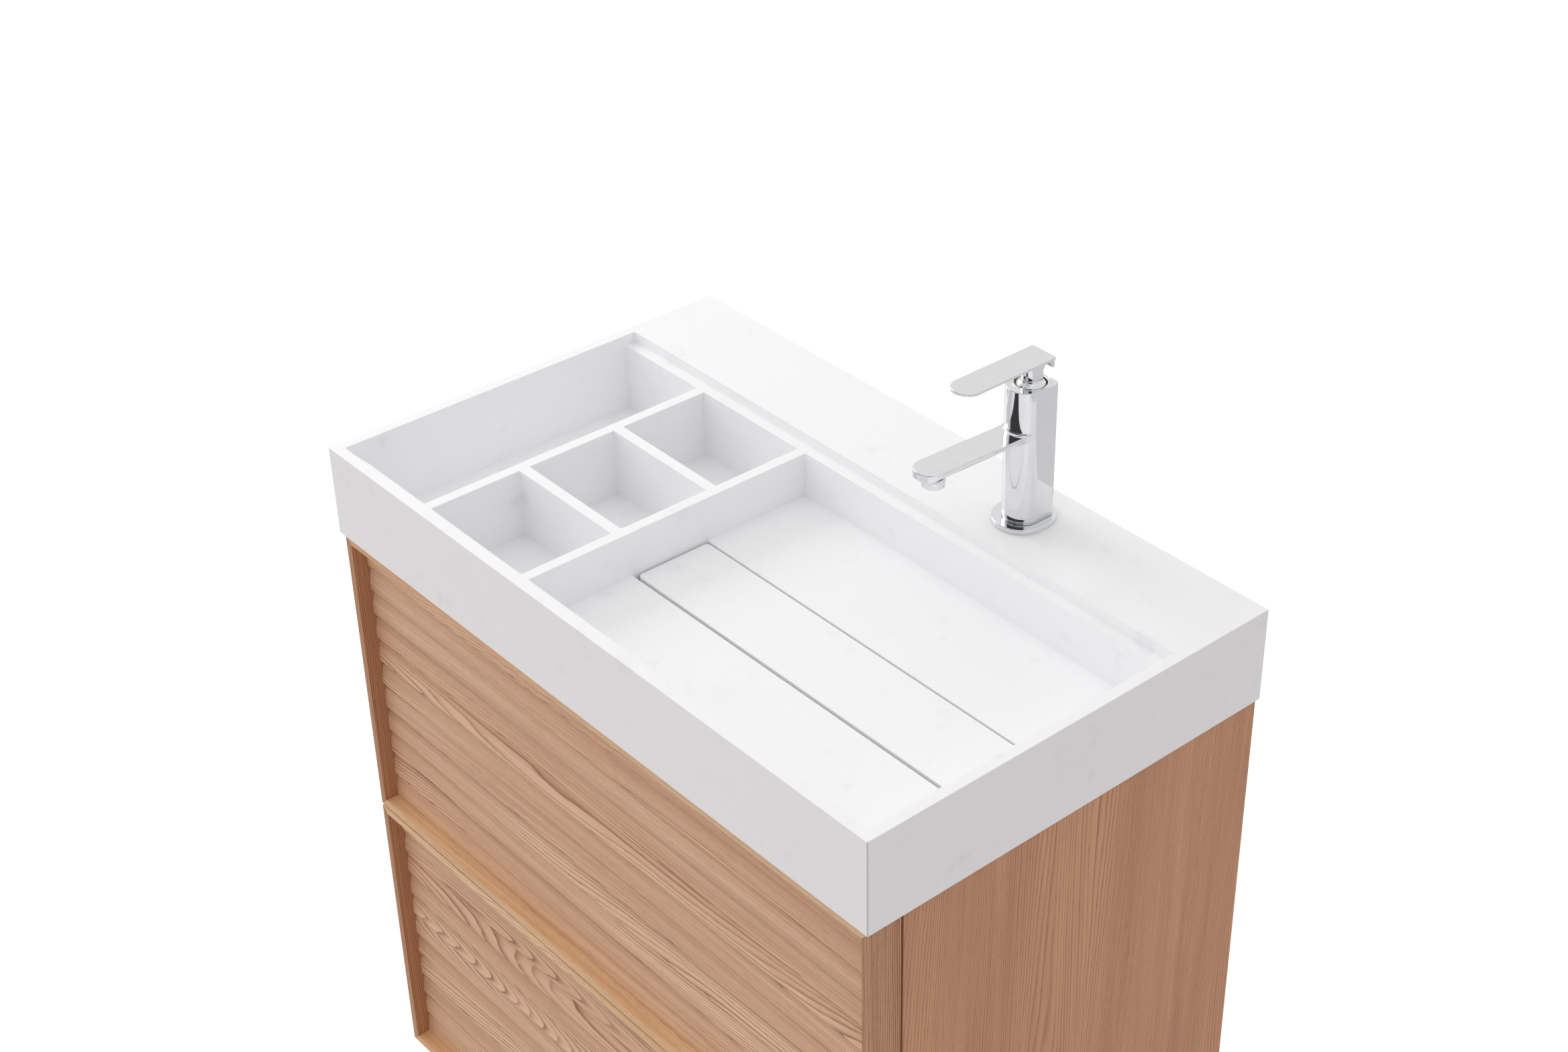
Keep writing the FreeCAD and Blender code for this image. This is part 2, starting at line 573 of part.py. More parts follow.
def cabinet():
    """The carcass, its toe kick and feet, and the wall plates."""
    sides = (SIDE_Y0, CAB_BACK)
    between = (f"-{CAB_IN}", CAB_IN)
    left = block("left_side_panel", (f"-{CAB_X}", f"-{CAB_IN}"), sides, ("plinth_z", UNDER))
    piece("left_side_panel", left)
    piece("right_side_panel", block("right_side_panel", (CAB_IN, CAB_X), sides,
                                    ("plinth_z", UNDER)))
    piece("bottom_panel", block("bottom_panel", between, sides, ("plinth_z", "plinth_z + board")))
    rail_y = (SIDE_Y0, f"{SIDE_Y0} + rail_wide")
    middle = f"({UPPER_Z} - front_gap / 2)"
    piece("cross_rails", group(
        "cross_rails",
        block("top_cross_rail", between, rail_y, (f"{UNDER} - board", UNDER)),
        block("middle_cross_rail", between, rail_y,
              (f"{middle} - board / 2", f"{middle} + board / 2"))))
    back_y = (f"{CAB_BACK} - board", CAB_BACK)
    rail = block("top_back_rail_blank", between, back_y, (f"{UNDER} - back_rail_high", UNDER))
    fixings = [round_bar_y(f"wall_hole_{side}", "wall_hole", f"{sign}wall_hole_x",
                           (f"{CAB_BACK} - 2 * board", f"{CAB_BACK} + board"), WALL_Z)
               for side, sign in (("left", "-"), ("right", ""))]
    piece("back_rails", group(
        "back_rails", cut("top_back_rail", rail, *fixings),
        block("bottom_back_rail", between, back_y,
              ("plinth_z + board", "plinth_z + board + back_rail_high"))))
    plates = []
    for side, sign in (("left", "-"), ("right", "")):
        middle_x = f"{sign}wall_hole_x"
        plate = block(f"wall_plate_{side}_blank",
                      (f"{middle_x} - wall_plate_wide / 2", f"{middle_x} + wall_plate_wide / 2"),
                      (f"{CAB_BACK} - board - wall_plate", f"{CAB_BACK} - board"),
                      (f"{WALL_Z} - wall_plate_high / 2", f"{WALL_Z} + wall_plate_high / 2"))
        hole = round_bar_y(f"wall_plate_{side}_hole", "wall_hole", middle_x,
                           (f"{CAB_BACK} - board - 2 * wall_plate", CAB_BACK), WALL_Z)
        plates.append(cut(f"wall_plate_{side}", plate, hole))
    piece("wall_plates", group("wall_plates", *plates))

    kick_y = f"(-{BACK} + kick_setback)"
    kick_z = ("kick_lift", "plinth_z")
    kick_back = f"({CAB_BACK} - kick_board)"
    kicks = [block("front_kick", ("-kick_x", "kick_x"), (kick_y, f"{kick_y} + kick_board"), kick_z)]
    for side, low in (("left", "-kick_x"), ("right", "kick_x - kick_board")):
        kicks.append(block(f"{side}_kick", (low, f"{low} + kick_board"),
                           (f"{kick_y} + kick_board", kick_back), kick_z))
    piece("toe_kick", group("toe_kick", *kicks))
    feet = []
    for across, x in (("left", "-foot_x"), ("right", "foot_x")):
        for along, y in (("front", "foot_front_y"), ("back", "foot_back_y")):
            name = f"foot_{along}_{across}"
            feet.append(fused(name, round_bar(name + "_pad", "foot_r", x, y, ("0", "foot_pad")),
                              round_bar(name + "_stem", "foot_stem", x, y,
                                        ("foot_pad", "plinth_z"))))
    piece("levelling_feet", group("levelling_feet", *feet))


# ---------------------------------------------------------------- the drawers


def front_frame(drawer, bottom):
    """Two rails and two stiles, mitred into a shallow box."""
    wide = f"(2 * {CAB_X})"
    low = [("0", "0"), (wide, "0"), (f"{wide} - front_edge", "front_edge"),
           ("front_edge", "front_edge")]
    high = [("0", FRONT_HIGH), ("front_edge", f"{FRONT_HIGH} - front_edge"),
            (f"{wide} - front_edge", f"{FRONT_HIGH} - front_edge"), (wide, FRONT_HIGH)]
    rails = [place(extruded(f"{drawer}_{side}_rail", "XZ_Plane", outline, "front_deep", True),
                   f"-{CAB_X}", FRONT_Y, bottom)
             for side, outline in (("lower", low), ("upper", high))]
    piece(f"{drawer}_front_rails", group(f"{drawer}_front_rails", *rails))
    upright = [("0", "0"), ("front_edge", "front_edge"),
               ("front_edge", f"{FRONT_HIGH} - front_edge"), ("0", FRONT_HIGH)]
    stile = place(extruded(f"{drawer}_left_stile", "XZ_Plane", upright, "front_deep", True),
                  f"-{CAB_X}", FRONT_Y, bottom)
    piece(f"{drawer}_front_stiles", group(f"{drawer}_front_stiles", stile,
                                          mirrored(f"{drawer}_right_stile", stile)))


def draw_flute(sketch):
    """One flute: a short roll under a crest, a sharp valley, and a long slope to the next crest."""
    deep, slope, roll = number("rib_deep"), number("rib_slope"), number("rib_roll")
    low = number("rib_start")
    valley = FreeCAD.Vector(deep, low + slope, 0)
    top = FreeCAD.Vector(0, low + slope + roll, 0)
    foot = FreeCAD.Vector(0, low, 0)
    proud = 1.0

    def on_arc(reach, crest_v, way):
        radius = (reach ** 2 + deep ** 2) / (2 * deep)
        half = math.asin(reach / radius) / 2
        return FreeCAD.Vector(radius * (1 - math.cos(half)), crest_v + way * radius * math.sin(half), 0)

    sketch.addGeometry(Part.Arc(top, on_arc(roll, top.y, -1), valley))
    sketch.addGeometry(Part.Arc(valley, on_arc(slope, foot.y, 1), foot))
    outside = [foot, foot - FreeCAD.Vector(proud, 0, 0), top - FreeCAD.Vector(proud, 0, 0), top]
    for start, end in zip(outside, outside[1:]):
        sketch.addGeometry(Part.LineSegment(start, end))
    for name, kind, point, value in (
            ("deep", "DistanceX", (0, 2), "rib_deep"),
            ("valley", "DistanceY", (0, 2), "rib_start + rib_slope"),
            ("crest", "DistanceY", (0, 1), "rib_start + rib_slope + rib_roll"),
            ("start", "DistanceY", (1, 2), "rib_start")):
        at = sketch.addConstraint(Sketcher.Constraint(kind, -1, 1, *point, number(value)))
        sketch.renameConstraint(at, name)
        sketch.setExpression(f"Constraints.{name}", cells(value))
    for first, second in ((0, 1), (1, 2), (2, 3), (3, 4)):
        sketch.addConstraint(Sketcher.Constraint("Coincident", first, 2, second, 1))
    sketch.addConstraint(Sketcher.Constraint("Coincident", 4, 2, 0, 1))


def fluted_panel(drawer, bottom):
    """The ribbed panel inside the front's frame."""
    body = doc.addObject("PartDesign::Body", f"{drawer}_fluted_panel")
    wide, high = f"(2 * {PANEL_IN})", f"({FRONT_HIGH} - 2 * front_edge)"
    blank = sketch_on(body, f"{drawer}_panel_outline", "XZ_Plane")
    draw_outline(blank, [("0", "0"), (wide, "0"), (wide, high), ("0", high)])
    pad = body.newObject("PartDesign::Pad", f"{drawer}_panel_pad")
    pad.Profile = blank
    pad.Reversed = True
    pad.setExpression("Length", cells("front_deep - recess"))
    flute = sketch_on(body, f"{drawer}_flute_outline", "YZ_Plane")
    draw_flute(flute)
    doc.recompute()
    pocket = body.newObject("PartDesign::Pocket", f"{drawer}_flute")
    pocket.Profile = flute
    pocket.Type = "ThroughAll"
    pocket.Reversed = True
    doc.recompute()
    ribs = body.newObject("PartDesign::LinearPattern", f"{drawer}_flutes")
    ribs.Originals = [pocket]
    ribs.Direction = (origin_feature(body, "Z_Axis"), [""])
    ribs.setExpression("Length", cells("rib_pitch * (rib_count - 1)"))
    ribs.setExpression("Occurrences", cells("rib_count"))
    body.Tip = ribs
    piece(f"{drawer}_fluted_panel", place(body, f"-{PANEL_IN}", f"{FRONT_Y} + recess",
                                          f"{bottom} + front_edge"))


def drawer_box(drawer, bottom, cut_out):
    """The box behind a front. The upper one is notched round the waste."""
    low, high = f"({bottom} + box_lift)", f"({bottom} + box_lift + box_high)"
    y = (FRONT_BACK, f"{FRONT_BACK} + box_long")
    inner = f"({BOX_X} - box_board)"
    left = block(f"{drawer}_left_box_side", (f"-{BOX_X}", f"-{inner}"), y, (low, high))
    piece(f"{drawer}_box_sides", group(f"{drawer}_box_sides", left,
                                       mirrored(f"{drawer}_right_box_side", left)))
    back_y = (f"{y[1]} - box_board", y[1])
    base_z = (f"{low} + base_lift", f"{low} + base_lift + box_base")
    base = block(f"{drawer}_box_base_blank", (f"-{inner}", inner), (y[0], back_y[0]), base_z)
    if not cut_out:
        piece(f"{drawer}_box_back", block(f"{drawer}_box_back", (f"-{inner}", inner), back_y,
                                          (low, high)))
        piece(f"{drawer}_box_base", base)
        return
    sides = ("slot_y", y[1])
    piece(f"{drawer}_box_back", group(
        f"{drawer}_box_back",
        block(f"{drawer}_back_left", (f"-{inner}", "slot_x0 - box_board"), back_y, (low, high)),
        block(f"{drawer}_back_right", ("slot_x1 + box_board", inner), back_y, (low, high)),
        block(f"{drawer}_notch_left", ("slot_x0 - box_board", "slot_x0"), sides, (low, high)),
        block(f"{drawer}_notch_right", ("slot_x1", "slot_x1 + box_board"), sides, (low, high)),
        block(f"{drawer}_notch_front", ("slot_x0 - box_board", "slot_x1 + box_board"),
              ("slot_y - box_board", "slot_y"), (low, high))))
    notch = block(f"{drawer}_box_base_notch", ("slot_x0 - box_board", "slot_x1 + box_board"),
                  ("slot_y - box_board", f"{y[1]} + box_board"), (f"{low} - 1", f"{high} + 1"))
    piece(f"{drawer}_box_base", cut(f"{drawer}_box_base", base, notch))


def channel(name, web_x, tip_x, half, y, z):
    """A C-section along Y: its web, the tips of its flanges, and half its height."""
    steel = "slide_steel"
    inward = f"({web_x} + {steel})"
    outline = [(web_x, f"{z} - {half}"), (tip_x, f"{z} - {half}"), (tip_x, f"{z} - {half} + {steel}"),
               (inward, f"{z} - {half} + {steel}"), (inward, f"{z} + {half} - {steel}"),
               (tip_x, f"{z} + {half} - {steel}"), (tip_x, f"{z} + {half}"), (web_x, f"{z} + {half}")]
    bar = extruded(name, "XZ_Plane", outline, f"({y[1]}) - ({y[0]})", True)
    return place(bar, "0", y[0], "0")


def slides(drawer, bottom):
    """Three nested members on each side: cabinet, middle and drawer. Returns the cabinet pair."""
    z = f"({bottom} + box_lift + slide_lift)"
    wall, box = f"(-{CAB_IN})", f"(-{BOX_X})"
    half = "(slide_high / 2)"
    y0 = f"({SIDE_Y0} + 2)"
    members = {
        "cabinet": (wall, f"{wall} + 9", half, (y0, f"{y0} + slide_long")),
        "middle": (f"({wall} + 2.2)", f"{wall} + 10.8", f"({half} - slide_step)",
                   (f"{y0} + 4", f"{y0} + slide_long - 20")),
        "drawer": (box, f"{box} - 8.6", f"({half} - 2 * slide_step)",
                   (f"{y0} + 2", f"{y0} + slide_long - 40")),
    }
    pairs = {}
    for role, (web_x, tip_x, high, y) in members.items():
        name = f"{drawer}_{role}_slide"
        if role == "drawer":
            outline_web = f"({box} - slide_steel)"
            left = drawer_member(f"{name}_left", box, outline_web, tip_x, high, y, z)
        else:
            left = channel(f"{name}_left", web_x, tip_x, high, y, z)
        pairs[role] = (left, mirrored(f"{name}_right", left))
    piece(f"{drawer}_middle_slides", group(f"{drawer}_middle_slides", *pairs["middle"]))
    piece(f"{drawer}_drawer_slides", group(f"{drawer}_drawer_slides", *pairs["drawer"]))
    return pairs["cabinet"]


def drawer_member(name, back_x, face_x, tip_x, half, y, z):
    """The slide member on the drawer's side, a C-section that opens towards the cabinet."""
    steel = "slide_steel"
    outline = [(back_x, f"{z} - {half}"), (back_x, f"{z} + {half}"), (tip_x, f"{z} + {half}"),
               (tip_x, f"{z} + {half} - {steel}"), (face_x, f"{z} + {half} - {steel}"),
               (face_x, f"{z} - {half} + {steel}"), (tip_x, f"{z} - {half} + {steel}"),
               (tip_x, f"{z} - {half}")]
    bar = extruded(name, "XZ_Plane", outline, f"({y[1]}) - ({y[0]})", True)
    return place(bar, "0", y[0], "0")


# ---------------------------------------------------------------- the tap


def upright_at(back):
    """A test for the vertical edges at the flat back of a tongue-shaped prism."""
    def chosen(edge):
        box = edge.BoundBox
        return box.ZLength > 1 and box.XLength < 1e-6 and abs(box.YMin - number(back)) < 1e-6
    return chosen


def spout():
    """A flat-topped tongue with a bowed underside, rising gently to its tip."""
    half, thick = "spout_half", "spout_thick"
    long = "(tap_front_y + tap_half - spout_tip_y)"
    plan = tongue("spout_plan", half, "0", ("0", long), (f"-2 * {thick}", "0"))
    bow = f"(({half} ^ 2 + ({thick} - spout_edge) ^ 2) / (2 * ({thick} - spout_edge)))"
    under = round_bar_y("spout_bow", bow, "0", ("0", long), f"{bow} - {thick}")
    slab_high = block("spout_section", (f"-{half}", half), ("0", long), (f"-{thick}", "0"))
    nose = f"(({half} ^ 2 + ({thick} - spout_nose) ^ 2) / (2 * ({thick} - spout_nose)))"
    chin = round_bar_x("spout_chin", nose, (f"-{half}", half), half, f"{nose} - {thick}")
    behind = block("spout_behind", (f"-{half}", half), (half, long), (f"-{thick}", "0"))
    side = fused("spout_side", chin, behind)
    shape = common("spout_shape", plan, under, slab_high, side)
    tilt = FreeCAD.Placement(FreeCAD.Vector(), FreeCAD.Rotation(FreeCAD.Vector(1, 0, 0),
                                                               -number("spout_rise")))
    shape.Placement = tilt
    return place(shape, "tap_x", "spout_tip_y", "rim_z + spout_tip_z")


def tap_body():
    """The cast body: an upright prism with a round front and a flat back, and the spout."""
    prism = tongue("tap_prism", "tap_half", "tap_x", ("tap_front_y", "tap_back_y"),
                   (TAP_LOW, TAP_TOP))
    prism = rounded("tap_prism_rounded", prism, "tap_corner", upright_at("tap_back_y"))
    axis = ("tap_x", "tap_axis_y")
    hollows = [
        round_bar("ring_seat", "ring_r", *axis, (f"{TAP_TOP} - ring_high", f"{TAP_TOP} + 1")),
        round_bar("upper_bore", "bore_r", *axis, (f"{PIVOT_Z} - 9", TAP_TOP)),
        round_bar("cartridge_seat", "cartridge_r", *axis, (f"{PIVOT_Z} - cartridge_low", TAP_TOP)),
        round_bar("aerator_pocket", "aerator_r", "tap_x", "aerator_y",
                  ("rim_z + aerator_z", "rim_z + aerator_z + aerator_high")),
        round_bar("aerator_seat", "aerator_r - aerator_wall", "tap_x", "aerator_y",
                  ("rim_z + aerator_z", "rim_z + spout_tip_z - 5")),
        round_bar("stud_seat", "stud_r", "tap_x", "stud_y", ("rim_z", SEAT_TOP)),
    ]
    hollows.append(round_bar_y("waterway", "waterway_r", "tap_x", ("aerator_y", "tap_axis_y"),
                               "rim_z + spout_tip_z - waterway_drop"))
    for side, sign in (("hot", "-"), ("cold", "+")):
        hollows.append(round_bar(f"{side}_seat", "inlet_r", f"tap_x {sign} inlet_dx", "inlet_y",
                                 ("rim_z", SEAT_TOP)))
        hollows.append(round_bar(f"{side}_way", "inlet_bore", f"tap_x {sign} inlet_dx / 2",
                                 "tap_axis_y",
                                 (f"{SEAT_TOP} - 5", f"{PIVOT_Z} - cartridge_low + 1")))
    piece("tap_body", cut("tap_body", fused("tap_casting", prism, spout()), *hollows))


def tap_trim():
    """The base plate, the collar, the trim ring and the aerator."""
    half, y0, y1 = "plate_r", "plate_front_y", "plate_back_y"
    z = ("rim_z", "rim_z + plate_high")
    ends = [round_bar(f"plate_end_{i}", half, "tap_x", y, z)
            for i, y in enumerate((f"{y0} + {half}", f"{y1} - {half}"))]
    middle = block("plate_middle", (f"tap_x - {half}", f"tap_x + {half}"),
                   (f"{y0} + {half}", f"{y1} - {half}"), z)
    hole = round_bar("plate_hole", "deck_hole - 1", "tap_x", "deck_hole_y",
                     ("rim_z - 1", "rim_z + plate_high + 1"))
    piece("tap_base_plate", cut("tap_base_plate", fused("plate_blank", *ends, middle), hole))
    inset = "(tap_half - collar_inset)"
    collar = tongue("collar_blank", inset, "tap_x",
                    ("tap_front_y + collar_inset", "tap_back_y - collar_inset"),
                    ("rim_z + plate_high", TAP_LOW))
    collar_hole = round_bar("collar_hole", "deck_hole - 1", "tap_x", "deck_hole_y",
                            ("rim_z", f"{TAP_LOW} + 1"))
    piece("tap_collar", cut("tap_collar", collar, collar_hole))
    piece("tap_trim_ring", tube("tap_trim_ring", "ring_r", "ring_hole", "tap_x", "tap_axis_y",
                                (f"{TAP_TOP} - ring_high", TAP_TOP)))
    low = "(rim_z + aerator_z)"
    piece("aerator_housing", tube("aerator_housing", "aerator_r", "aerator_r - aerator_wall",
                                  "tap_x", "aerator_y", (low, f"{low} + aerator_high")))
    mesh = round_bar("aerator_mesh_blank", "aerator_r - aerator_wall", "tap_x", "aerator_y",
                     (f"{low} + 1", f"{low} + 5"))
    jets = [round_bar(f"jet_{turn}", "jet_r", f"tap_x + jet_ring * cos({turn * 45})",
                      f"aerator_y + jet_ring * sin({turn * 45})", (low, f"{low} + 6"))
            for turn in range(8)]
    piece("aerator_insert", cut("aerator_insert", mesh, *jets))


def cartridge():
    """The mixing cartridge: its body and nut, the turning carrier, the stem and the pivot pin."""
    axis = ("tap_x", "tap_axis_y")
    low, top = f"({PIVOT_Z} - cartridge_low)", f"({PIVOT_Z} + cartridge_top)"
    body = round_bar("cartridge_blank", "cartridge_r", *axis, (low, top))
    bore = round_bar("cartridge_hollow", "cartridge_bore", *axis,
                     (f"{PIVOT_Z} - carrier_low - 0.3", f"{top} + 1"))
    piece("mixer_cartridge", cut("mixer_cartridge", body, bore))
    piece("cartridge_nut", tube("cartridge_nut", "bore_r", "cartridge_r", *axis,
                                (f"{PIVOT_Z} - 8.5", f"{PIVOT_Z} + 1")))
    carrier = round_bar("carrier_blank", "carrier_r", *axis, (f"{PIVOT_Z} - carrier_low", top))
    slot = block("carrier_slot_tool", ("tap_x - carrier_slot / 2", "tap_x + carrier_slot / 2"),
                 ("tap_axis_y - 2 * carrier_r", "tap_axis_y + 2 * carrier_r"),
                 (f"{PIVOT_Z} - 12", f"{top} + 1"))
    reach = ("tap_x - carrier_r + 0.7", "tap_x + carrier_r - 0.7")
    pin = round_bar_x("pivot_pin_rod", "pivot_pin", reach, "tap_axis_y", PIVOT_Z)
    piece("cartridge_carrier", fused("cartridge_carrier", cut("carrier_body", carrier, slot), pin))
    stem = block("stem_blank", ("tap_x - stem / 2", "tap_x + stem / 2"),
                 ("tap_axis_y - stem / 2", "tap_axis_y + stem / 2"),
                 (f"{PIVOT_Z} - stem_low", f"{PIVOT_Z} + stem_top"))
    stem_hole = round_bar_x("stem_pin_hole", "pivot_pin + pin_clear",
                            ("tap_x - stem", "tap_x + stem"), "tap_axis_y", PIVOT_Z)
    piece("cartridge_stem", cut("cartridge_stem", stem, stem_hole))


def lever():
    """The lever: a flat tongue with a lip at its back, on a neck that grows out of a dome."""
    under = f"({LEVER_Z} - lever_thick)"
    plate = tongue("lever_plate", "lever_half", "tap_x", ("lever_front_y", "lever_back_y"),
                   (under, LEVER_Z))
    plate = rounded("lever_plate_rounded", plate, "lever_corner", upright_at("lever_back_y"))
    lip_y = "(lever_back_y - lip_thick)"
    lip = block("lever_lip", ("tap_x - lever_half + 3", "tap_x + lever_half - 3"),
                (lip_y, "lever_back_y"), (f"{LEVER_Z} - lip_high", under))
    dome_low = f"({PIVOT_Z} + dome_cut)"
    ball = doc.addObject("Part::Sphere", "dome_ball")
    ball.setExpression("Radius", cells("dome_r"))
    place(ball, "tap_x", "tap_axis_y", PIVOT_Z)
    above = block("dome_above", ("tap_x - dome_r", "tap_x + dome_r"),
                  ("tap_axis_y - dome_r", "tap_axis_y + dome_r"), (dome_low, f"{PIVOT_Z} + dome_r"))
    dome = common("lever_dome", ball, above)
    neck = tongue("lever_neck", "neck_half", "tap_x", ("tap_axis_y - neck_half", "neck_back_y"),
                  (f"{PIVOT_Z} + 12", under))
    gusset = extruded("lever_gusset", "YZ_Plane",
                      [("0", "gusset_high"), ("0", "0"), (f"{lip_y} - neck_back_y", "gusset_high")],
                      "2 * neck_half")
    place(gusset, "tap_x - neck_half", "neck_back_y", f"{under} - gusset_high")
    socket = block("stem_socket", ("tap_x - stem / 2", "tap_x + stem / 2"),
                   ("tap_axis_y - stem / 2", "tap_axis_y + stem / 2"),
                   (f"{dome_low} - 1", f"{PIVOT_Z} + stem_top"))
    screw_y = ("tap_axis_y + stem / 2", "neck_back_y")
    screw_hole = round_bar_y("lever_screw_hole", "screw_r", "tap_x",
                             (screw_y[0], "neck_back_y + 1"), "rim_z + screw_z")
    casting = fused("lever_casting", plate, lip, dome, neck, gusset)
    piece("tap_lever", cut("tap_lever", casting, socket, screw_hole))
    piece("lever_screw", round_bar_y("lever_screw_rod", "screw_r", "tap_x", screw_y,
                                     "rim_z + screw_z"))


def tap_fixings():
    """Below the deck: the stud, the horseshoe washer, the nut and the two inlets."""
    under_deck = "(rim_z - ply)"
    piece("tap_stud", round_bar("tap_stud_rod", "stud_r", "tap_x", "stud_y",
                                (f"{SEAT_TOP} - stud_long", SEAT_TOP)))
    disc = round_bar("washer_disc", "washer_r", "tap_x", "deck_hole_y",
                     (f"{under_deck} - washer_high", under_deck))
    mouth = block("washer_mouth", ("tap_x - deck_hole + 2", "tap_x + deck_hole - 2"),
                  ("deck_hole_y - 2 * washer_r", "deck_hole_y"),
                  (f"{under_deck} - 2 * washer_high", f"{under_deck} + 1"))
    stud_hole = round_bar("washer_stud_hole", "stud_r", "tap_x", "stud_y",
                          (f"{under_deck} - 2 * washer_high", f"{under_deck} + 1"))
    washer = cut("tap_washer", disc, mouth, stud_hole)
    nut_z = (f"{under_deck} - washer_high - stud_nut_high", f"{under_deck} - washer_high")
    nut = cut("tap_nut", hexagon("tap_nut_blank", "stud_nut", "tap_x", "stud_y", nut_z),
              round_bar("tap_nut_bore", "stud_r", "tap_x", "stud_y", nut_z))
    piece("tap_clamp", group("tap_clamp", washer, nut))
    inlets = []
    for side, sign in (("hot", "-"), ("cold", "+")):
        at = (f"tap_x {sign} inlet_dx", "inlet_y")
        low, shoulder = "(rim_z - inlet_drop)", "(rim_z - inlet_drop + nipple_long)"
        outside = fused(f"{side}_inlet_blank",
                        round_bar(f"{side}_nipple", "nipple_r", *at, (low, shoulder)),
                        round_bar(f"{side}_pipe", "inlet_r", *at, (shoulder, SEAT_TOP)))
        inlets.append(cut(f"{side}_inlet", outside,
                          round_bar(f"{side}_inlet_bore", "inlet_bore", *at,
                                    (f"{low} - 1", SEAT_TOP))))
    piece("tap_inlets", group("tap_inlets", *inlets))


# ---------------------------------------------------------------- build, check and write

aprons()
inner_walls()
sheets()
drain_cover()
waste()
cabinet()
cabinet_slides = []
for drawer, bottom, cut_out in (("upper", UPPER_Z, True), ("lower", LOWER_Z, False)):
    front_frame(drawer, bottom)
    fluted_panel(drawer, bottom)
    drawer_box(drawer, bottom, cut_out)
    cabinet_slides += slides(drawer, bottom)
piece("cabinet_slides", group("cabinet_slides", *cabinet_slides))
tap_body()
tap_trim()
cartridge()
lever()
tap_fixings()
doc.recompute()

for thing in doc.Objects:
    failed = {"Invalid", "Error"} & set(thing.State)
    if failed:
        raise RuntimeError(f"{thing.Name}: {thing.State}")
for solid in PARTS:
    if solid.Shape.isNull() or not solid.Shape.isValid() or not solid.Shape.Solids:
        raise RuntimeError(f"{solid.Label} has no valid shape")

os.makedirs("parts", exist_ok=True)
for solid in PARTS:
    solid.Shape.exportStep(f"parts/{solid.Label}.step")
print(f"{len(PARTS)} sub-parts written")
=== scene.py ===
import json
import math

import bmesh
import bpy
import numpy as np
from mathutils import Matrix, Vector


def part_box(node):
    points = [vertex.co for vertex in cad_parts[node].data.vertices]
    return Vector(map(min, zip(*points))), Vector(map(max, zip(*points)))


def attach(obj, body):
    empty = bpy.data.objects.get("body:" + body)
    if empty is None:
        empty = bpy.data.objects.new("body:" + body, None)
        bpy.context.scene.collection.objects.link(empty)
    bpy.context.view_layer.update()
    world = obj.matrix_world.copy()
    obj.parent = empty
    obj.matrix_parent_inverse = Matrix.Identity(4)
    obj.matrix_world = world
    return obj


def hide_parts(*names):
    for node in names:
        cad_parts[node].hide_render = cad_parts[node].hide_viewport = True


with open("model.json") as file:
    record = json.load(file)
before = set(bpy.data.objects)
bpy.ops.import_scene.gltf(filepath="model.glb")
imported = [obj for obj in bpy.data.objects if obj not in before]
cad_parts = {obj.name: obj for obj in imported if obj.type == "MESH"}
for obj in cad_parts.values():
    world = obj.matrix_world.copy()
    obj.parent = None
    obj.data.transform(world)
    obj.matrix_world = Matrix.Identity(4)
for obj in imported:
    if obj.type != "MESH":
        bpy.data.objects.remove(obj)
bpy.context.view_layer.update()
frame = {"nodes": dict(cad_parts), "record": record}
nodes = frame["nodes"]


# ---------------------------------------------------------------- colours and node trees

def srgb(r, g, b):
    """A screen colour, 0 to 255, as linear light."""
    def one(c):
        c /= 255
        return c / 12.92 if c <= 0.04045 else ((c + 0.055) / 1.055) ** 2.4
    return one(r), one(g), one(b)


def deeper(color, share):
    """The colour with a share of its light."""
    return [c * share for c in color]


